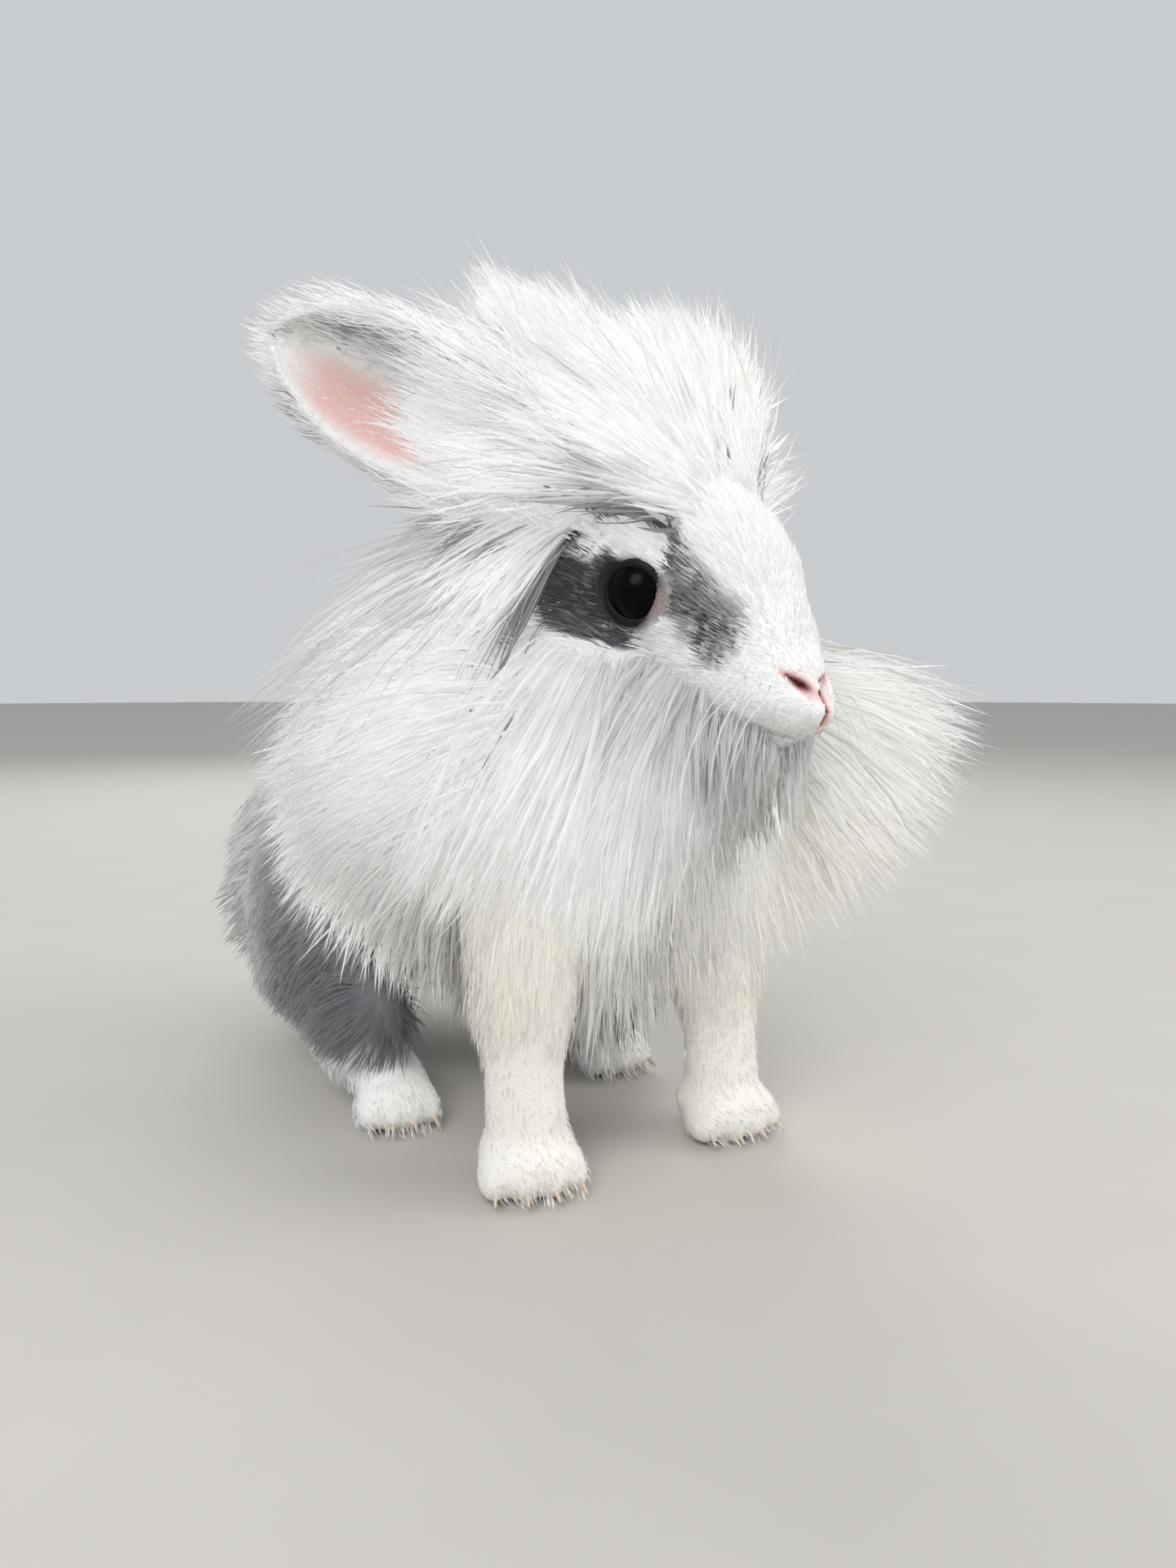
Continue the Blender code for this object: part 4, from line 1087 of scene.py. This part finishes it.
class RABBIT_OT_face_coat(bpy.types.Operator):
    """Short flat hair of the face"""

    bl_idname = "rabbit.face_coat"
    bl_label = "Face coat"

    def execute(self, context):
        draw = np.random.default_rng(101)

        def density(p, n):
            s, l, u = head_place(p)
            clear = ramp(from_eye(s, u), 6.2, 6.9) * ramp(nostril(s, l, u), 0.4, 0.12)
            clear *= ramp(np.hypot(s - 8.3, u + 0.6), 1.5, 2.4)
            return 228.0 * (1 - 0.7 * head_long(p)) * clear

        root, out, uv, label = roots_on(("head",), density, draw)
        s, l, u = head_place(root)
        nose = np.array(HEAD @ Vector((46.0, 0.0, -2.0)))
        lie = unit(root - nose)
        lie = unit(lie - out * (lie * out).sum(1)[:, None])
        length = (1.8 + 4.6 * ramp(s, 41.0, 10.0)) * draw.uniform(0.75, 1.25, len(root))
        length *= 0.5 + 0.5 * ramp(from_eye(s, u), 8.0, 13.0)
        cheek = ramp(np.abs(l), 8, 11)
        length *= 1 - 0.75 * ramp(s, 4.0, 7.0) * ramp(s, 14.0, 10.0) * ramp(np.abs(u), 9.0, 5.0) * cheek
        brow = ramp(to_line(s, u, BROW_TUFT), 3.4, 1.5) * cheek
        length *= 1 + 0.5 * brow
        rise = 0.26 + 0.3 * brow
        path = paths_of(root, out, lie, length, rise, draw, 2, curl=0.1, gather=0.25, group=6, flat=0.0)
        width = 0.5 * draw.uniform(0.75, 1.3, len(root))
        marks = markings(root, label)
        marks[:, :2] *= draw.uniform(0.72, 1.2, (len(root), 1))
        marks = np.clip(marks, 0, 1)
        coat_piece("coat_face", context.scene.rabbit_coat, path, out, width, uv, marks, draw, flat=0.35)
        return {"FINISHED"}


class RABBIT_OT_mane(bpy.types.Operator):
    """Long hair of crown, cheeks and beard"""

    bl_idname = "rabbit.mane"
    bl_label = "Mane"

    def execute(self, context):
        sizes = context.scene.rabbit_sizes
        longest, crown = sizes.mane / MM, sizes.crown / MM
        for index, (many, wide, keep) in enumerate(MANE_LAYERS):
            draw = np.random.default_rng(201 + index)
            root, out, uv, label = roots_on(("head",), lambda p, n: many * head_long(p) * far_side(p), draw)
            s, l, u = head_place(root)
            length = mane_length(root, longest, crown, draw)
            rise = np.interp(round_head(l, u), *MANE_RISE) * draw.uniform(0.6, 1.1, len(root))
            path = paths_of(root, out, head_lie(root), length, rise, draw, 4, curl=0.17, gather=0.28,
                            group=14, droop=0.2, keep_out=keep)
            width = wide * draw.uniform(0.7, 1.3, len(root))
            marks = markings(root, label)
            streak = ramp(s, -12.0, -16.0) * ramp(u, 7.0, 3.0)
            marks[:, :2] *= np.maximum(streak, ramp(u, 9.0, 12.0) * ramp(s, -11.0, -6.0))[:, None]
            lit = 0.7 * ramp(l, 2.0, 10.0)[:, None, None] * np.array((-0.4, -0.7, 0.6))
            coat_piece("coat_mane_%d" % (index + 1), context.scene.rabbit_coat, path, out, width, uv, marks,
                       draw, toward=lit)
        return {"FINISHED"}


class RABBIT_OT_ruff(bpy.types.Operator):
    """Hair round the neck, over shoulders and chest"""

    bl_idname = "rabbit.ruff"
    bl_label = "Ruff"

    def execute(self, context):
        longest = context.scene.rabbit_sizes.ruff / MM
        for index, (many, wide, keep) in enumerate(RUFF_LAYERS):
            draw = np.random.default_rng(301 + index)
            root, out, uv, label = roots_on(("neck",), lambda p, n: many, draw)
            across, upward = out[:, 0], out[:, 2]
            over = np.stack([0.72 * across, 0.85 * (0.75 + upward), 0.35 * upward - 0.5], axis=1)
            under = np.stack([0.45 * across, np.full(len(root), -0.12), np.full(len(root), -1.0)], axis=1)
            lie = blended(over, under, ramp(upward, -0.35, -0.6)[:, None])
            high = ramp(root[:, 2], 84.0, 104.0) * ramp(across, 0.2, -0.4)
            length = longest * (1 + 0.12 * high) * (0.5 + 0.55 * draw.beta(4.0, 1.6, len(root)))
            rise = draw.uniform(0.25, 0.5, len(root)) + 0.15 * high
            path = paths_of(root, out, lie, length, rise, draw, 4, curl=0.18, gather=0.28, group=14,
                            droop=0.15, keep_out=keep)
            width = wide * draw.uniform(0.7, 1.25, len(root))
            # Tufts that would come out through the face are left out.
            s, _, u = head_place(path.reshape(-1, 3))
            clear = ~((s > -23.0) & (u > -16.0)).reshape(len(root), -1).any(axis=1)
            kept = [items[clear] for items in (root, label, path, out, width, uv)]
            root, label, path, out, width, uv = kept
            coat_piece("coat_ruff_%d" % (index + 1), context.scene.rabbit_coat, path, out, width, uv,
                       markings(root, label), draw)
        return {"FINISHED"}


class RABBIT_OT_body_coat(bpy.types.Operator):
    """Coat of back, flanks, belly and tail"""

    bl_idname = "rabbit.body_coat"
    bl_label = "Body coat"

    def execute(self, context):
        base = context.scene.rabbit_sizes.body / MM
        for index, (many, wide) in enumerate(BODY_LAYERS):
            draw = np.random.default_rng(401 + index)
            root, out, uv, label = roots_on(("torso", "tail"), lambda p, n: many, draw)
            y, z = root[:, 1], root[:, 2]
            chest = ramp(y, 0.0, -22.0) * ramp(out[:, 2], 0.3, -0.3)
            tail = label == PARTS.index("tail")
            down = -0.25 - 0.45 * np.abs(out[:, 0]) - chest
            lie = np.stack([0.25 * out[:, 0], 0.85 * (1 - chest), down], axis=1)
            rump = ramp(y, 48.0, 78.0) * ramp(z, 88.0, 70.0)
            length = base * (1 + 0.6 * ramp(z, 64.0, 40.0) * ramp(y, 10.0, 60.0) + 0.45 * rump + 1.4 * chest)
            length *= np.where(tail | (y > 100), 0.75, 1.0) * draw.uniform(0.7, 1.15, len(root))
            rise = draw.uniform(0.2, 0.4, len(root)) + 0.25 * rump
            path = paths_of(root, out, lie, length, rise, draw, 3, curl=0.16, droop=0.1, gather=0.3, group=9,
                            flat=0.0)
            width = wide * draw.uniform(0.7, 1.3, len(root))
            coat_piece("coat_body_%d" % (index + 1), context.scene.rabbit_coat, path, out, width, uv,
                       markings(root, label), draw, slot="grey_coat")
        return {"FINISHED"}


class RABBIT_OT_leg_coat(bpy.types.Operator):
    """Coat of legs and feet"""

    bl_idname = "rabbit.leg_coat"
    bl_label = "Leg coat"

    def execute(self, context):
        draw = np.random.default_rng(501)
        above_soles = lambda p, n: 50.0 * ramp(p[:, 2], 0.6, 2.5)
        root, out, uv, label = roots_on(("foreleg", "hindleg"), above_soles, draw)
        z = root[:, 2]
        hind = label == PARTS.index("hindleg")
        leg_lie = np.where(hind[:, None], np.array((0.0, 0.65, -0.6)), np.array((0.0, 0.06, -1.0)))
        lie = blended(leg_lie, np.array((0.0, -0.7, -0.6)), ramp(z, 20.0, 11.0)[:, None])
        length = 3.0 + np.where(hind, 1.2 + 10.0 * ramp(z, 14.0, 32.0), 11.0 * ramp(z, 24.0, 60.0))
        length *= draw.uniform(0.75, 1.2, len(root))
        rise = draw.uniform(0.15, 0.35, len(root))
        path = paths_of(root, out, lie, length, rise, draw, 2, curl=0.12, gather=0.3, group=7, flat=0.0)
        width = 0.6 * draw.uniform(0.7, 1.3, len(root))
        coat_piece("coat_legs", context.scene.rabbit_coat, path, out, width, uv, markings(root, label), draw)
        return {"FINISHED"}


class RABBIT_OT_ear_coat(bpy.types.Operator):
    """Short hair of the ears, longer along their rims"""

    bl_idname = "rabbit.ear_coat"
    bl_label = "Ear coat"

    def execute(self, context):
        draw = np.random.default_rng(511)
        ear = PARTS.index("ear")

        def density(p, n):
            return 118.0 * (1 - 1.7 * ear_bare(p, n, np.full(len(p), ear)))

        root, out, uv, label = roots_on(("ear",), density, draw)
        place = on_ear(root)
        side, across, along = place.T
        left = side > 0
        rim = np.maximum(ramp(np.abs(across), 0.84, 0.98), ramp(along, 0.9, 0.99))
        bare = 2 * ear_bare(root, out, label)
        wool = np.where(left, ramp(along, 0.9, 0.5), ramp(along, 0.62, 0.3))
        inside = ramp((out * ear_way(place, 1)).sum(1), 0.0, 0.35)
        wool = np.maximum(wool, 0.35 * inside * ramp(across, 0.1, 0.4) * ramp(along, 0.95, 0.75))
        under = np.where(left, 0.0, ramp(across, -0.3, -0.8))
        length = 3.4 + 3.0 * rim - 1.2 * bare + 24.0 * wool * (1 - 0.6 * under)
        length *= draw.uniform(0.7, 1.25, len(root))
        rise = 0.18 + 0.3 * rim + 0.25 * wool
        lie = unit(ear_way(place, 0))
        path = paths_of(root, out, lie, length, rise, draw, 2, curl=0.14, gather=0.2, group=6)
        marks = markings(root, label)
        marks[:, 3] = 0.12 * bare
        width = 0.45 * draw.uniform(0.75, 1.25, len(root))
        lit = (wool * inside)[:, None, None] * np.array((-0.6, -0.8, 1.4))
        coat_piece("coat_ears", context.scene.rabbit_coat, path, out, width, uv, marks, draw, toward=lit)
        return {"FINISHED"}


def add_strand(bm, points, first, last, sides=5):
    """A closed tapering tube through points, added to the bmesh."""
    rings = []
    for i, p in enumerate(points):
        run = (points[min(i + 1, len(points) - 1)] - points[max(i - 1, 0)]).normalized()
        side = run.cross(Vector((0.3, 0.2, 1.0))).normalized()
        up = side.cross(run)
        r = first + (last - first) * i / (len(points) - 1)
        rings.append([p + side * (r * math.cos(a)) + up * (r * math.sin(a)) for a in turns_round(sides)])
    tube = lofted(rings)
    shade_smooth(tube)
    merge_in(bm, tube)


def whisker_line(k, side, draw):
    """Points along one whisker, out of the muzzle and drooping."""
    forward = 38.0 - 2.4 * (k % 3) - draw.uniform(0, 1.5)
    root = HEAD @ Vector((forward, side * (9.0 + 1.0 * (k % 3)), -5.0 - 2.6 * (k // 3)))
    near, normal, _, _ = SKIN["tree"].find_nearest(root)
    way = (normal * 0.8 + HEAD.to_3x3() @ Vector((-0.1, side * 0.7, -0.25))).normalized()
    reach = draw.uniform(22, 38)
    spot, points = near - normal * 0.6, []
    for i in range(WHISKER_POINTS):
        points.append(spot.copy())
        way = (way + Vector((0.0, 0.012, -0.11 - 0.02 * i))).normalized()
        spot = spot + way * (reach / (WHISKER_POINTS - 1))
    return points


class RABBIT_OT_whiskers(bpy.types.Operator):
    """A few long drooping whiskers at each side of the muzzle"""

    bl_idname = "rabbit.whiskers"
    bl_label = "Whiskers"

    def execute(self, context):
        draw = np.random.default_rng(601)
        surface = whisker_material()
        for side, name in SIDES:
            bm = bmesh.new()
            for k in range(WHISKERS):
                add_strand(bm, whisker_line(k, side, draw), 0.12, 0.04)
            take_over(object_from("whiskers_" + name, bm, TO_ROW), surface, "white_coat")
        return {"FINISHED"}


def claw_line(root, way):
    """Points along one claw, bent down toward its tip."""
    return [root + way * (CLAW_LENGTH * i / CLAW_STEPS)
            + Vector((0, 0, 0.4 - CLAW_DROP * (i / CLAW_STEPS) ** 2)) for i in range(CLAW_STEPS + 1)]


class RABBIT_OT_claws(bpy.types.Operator):
    """Small curved claws half hidden in the fur of the toes"""

    bl_idname = "rabbit.claws"
    bl_label = "Claws"

    def execute(self, context):
        surface = claw_material()
        for side, name in SIDES:
            for kind, (front, high, fan) in CLAWS.items():
                place = foot_place(kind, side)
                bm = bmesh.new()
                for across, spot in toe_spots(kind, front, high):
                    way = (place.to_3x3() @ Vector((fan * across, -1.0, -0.12))).normalized()
                    add_strand(bm, claw_line(place @ spot, way), 0.95, 0.2, sides=10)
                take_over(object_from("claws_%s_%s" % (kind, name), bm, TO_ROW), surface, "white_coat")
        return {"FINISHED"}


def eyeball(centre, side):
    """An eyeball whose cornea bulges a little."""
    bm = ball(centre, (EYE_RADIUS,) * 3, matrix=HEAD, across=48, rows=32)
    outward = (HEAD.to_3x3() @ Vector((0.3, side, 0.05))).normalized()
    middle = HEAD @ centre
    for v in bm.verts:
        facing = max((v.co - middle).normalized().dot(outward), 0.0)
        v.co += outward * (0.7 * max(facing - 0.72, 0.0) / 0.28)
    shade_smooth(bm)
    return bm


def lid_ring(centre, side):
    """An almond ring of lid round an eye, drawn out at its front corner, and how near each point is to that
    corner."""
    count, round_ = 72, 10
    spin = Matrix.Rotation(math.radians(-20.0 * side), 4, "Z")
    wall = Vector((0, side, 0))
    bm = bmesh.new()
    loops, corner = [], []
    for a in turns_round(count):
        front = max(math.cos(a + 0.12), 0.0) ** 9
        spot = Vector((6.1 * (1.0 + 0.42 * front) * math.cos(a),
                       side * (5.5 - 0.9 * abs(math.cos(a)) ** 3 + 0.7 * front),
                       5.9 * (math.sin(a) - 0.12 * front)))
        radial = Vector((math.cos(a), 0, math.sin(a)))
        wide = 0.8 + 0.25 * math.sin(a) ** 2 + 0.8 * front
        ring = [HEAD @ (centre + spin @ (spot + radial * (wide * math.cos(b)) + wall * (0.8 * math.sin(b))))
                for b in turns_round(round_)]
        corner += [front] * round_
        loops.append(edge_loop(bm, ring))
    bridged(bm, loops + loops[:1])
    bmesh.ops.recalc_face_normals(bm, faces=bm.faces)
    shade_smooth(bm)
    return bm, corner


class RABBIT_OT_eyes(bpy.types.Operator):
    """Both eyeballs with their lids"""

    bl_idname = "rabbit.eyes"
    bl_label = "Eyes and lids"

    def execute(self, context):
        wet, bare = eye_material(), lid_material()
        for side, name in SIDES:
            centre = Vector((EYE_SPOT[0], EYE_SPOT[1] * side, EYE_SPOT[2]))
            eye = object_from("eyeball_" + name, eyeball(centre, side), TO_ROW)
            take_over(eye, wet, "dark_eye", "eye_" + name)
            ring, corner = lid_ring(centre, side)
            lid = object_from("lid_" + name, ring, TO_ROW)
            set_points(lid.data, "corner", np.repeat(np.array(corner)[:, None], 4, axis=1))
            take_over(lid, bare, "pink_ear")
        return {"FINISHED"}


def add_light(name, place, size, power):
    """A soft round light that faces the rabbit."""
    lamp = bpy.data.lights.new(name, "AREA")
    lamp.shape = "DISK"
    lamp.size = size
    lamp.energy = power
    light = bpy.data.objects.new(name, lamp)
    light.location = place
    light.rotation_euler = (LIT_SPOT - Vector(place)).to_track_quat("-Z", "Y").to_euler()
    bpy.context.scene.collection.objects.link(light)


def add_camera():
    """The camera at the view of the photograph."""
    lens = bpy.data.cameras.new("camera")
    lens.lens = CAMERA_LENS
    lens.sensor_width = 36.0
    lens.clip_start = 0.01
    camera = bpy.data.objects.new("camera", lens)
    camera.location = (Vector(CAMERA_AT) + SHIFT) * MM
    camera.rotation_euler = [math.radians(turn) for turn in CAMERA_TURN]
    bpy.context.scene.collection.objects.link(camera)
    bpy.context.scene.camera = camera


class RABBIT_OT_stage(bpy.types.Operator):
    """Floor, soft lights and the camera at the view of the photograph"""

    bl_idname = "rabbit.stage"
    bl_label = "Stage"

    def execute(self, context):
        bm = bmesh.new()
        bmesh.ops.create_circle(bm, cap_ends=True, radius=FLOOR_RADIUS, segments=96)
        floor = object_from("floor", bm)
        floor.data.materials.append(floor_material())
        world = bpy.data.worlds.new("studio")
        world.use_nodes = True
        sky = world.node_tree.nodes["Background"]
        sky.inputs["Color"].default_value = rgba("#E9ECEF")
        sky.inputs["Strength"].default_value = SKY_STRENGTH
        context.scene.world = world
        for light in LIGHTS:
            add_light(*light)
        context.scene.view_settings.view_transform = "Standard"
        add_camera()
        return {"FINISHED"}


class RABBIT_PT_panel(bpy.types.Panel):
    """The rabbit's pieces and settings"""

    bl_label = "Lionhead rabbit"
    bl_idname = "RABBIT_PT_panel"
    bl_space_type = "VIEW_3D"
    bl_region_type = "UI"
    bl_category = "Rabbit"

    def draw(self, context):
        for group in (context.scene.rabbit_sizes, context.scene.rabbit_coat):
            box = self.layout.box()
            for key in group.__annotations__:
                box.prop(group, key)
        for operator in OPERATORS:
            self.layout.operator(operator.bl_idname)


OPERATORS = (RABBIT_OT_skin, RABBIT_OT_eyes, RABBIT_OT_face_coat, RABBIT_OT_mane, RABBIT_OT_ruff,
             RABBIT_OT_body_coat, RABBIT_OT_leg_coat, RABBIT_OT_ear_coat, RABBIT_OT_whiskers, RABBIT_OT_claws,
             RABBIT_OT_stage)
CLASSES = (RabbitCoat, RabbitSizes, *OPERATORS, RABBIT_PT_panel)


def register():
    for cls in CLASSES:
        bpy.utils.register_class(cls)
    bpy.types.Scene.rabbit_coat = bpy.props.PointerProperty(type=RabbitCoat)
    bpy.types.Scene.rabbit_sizes = bpy.props.PointerProperty(type=RabbitSizes)


def unregister():
    del bpy.types.Scene.rabbit_sizes
    del bpy.types.Scene.rabbit_coat
    for cls in reversed(CLASSES):
        bpy.utils.unregister_class(cls)


def main():
    register()
    bpy.ops.rabbit.skin()
    bpy.ops.rabbit.eyes()
    bpy.ops.rabbit.face_coat()
    bpy.ops.rabbit.mane()
    bpy.ops.rabbit.ruff()
    bpy.ops.rabbit.body_coat()
    bpy.ops.rabbit.leg_coat()
    bpy.ops.rabbit.ear_coat()
    bpy.ops.rabbit.whiskers()
    bpy.ops.rabbit.claws()
    bpy.ops.rabbit.stage()


if __name__ == "__main__":
    main()
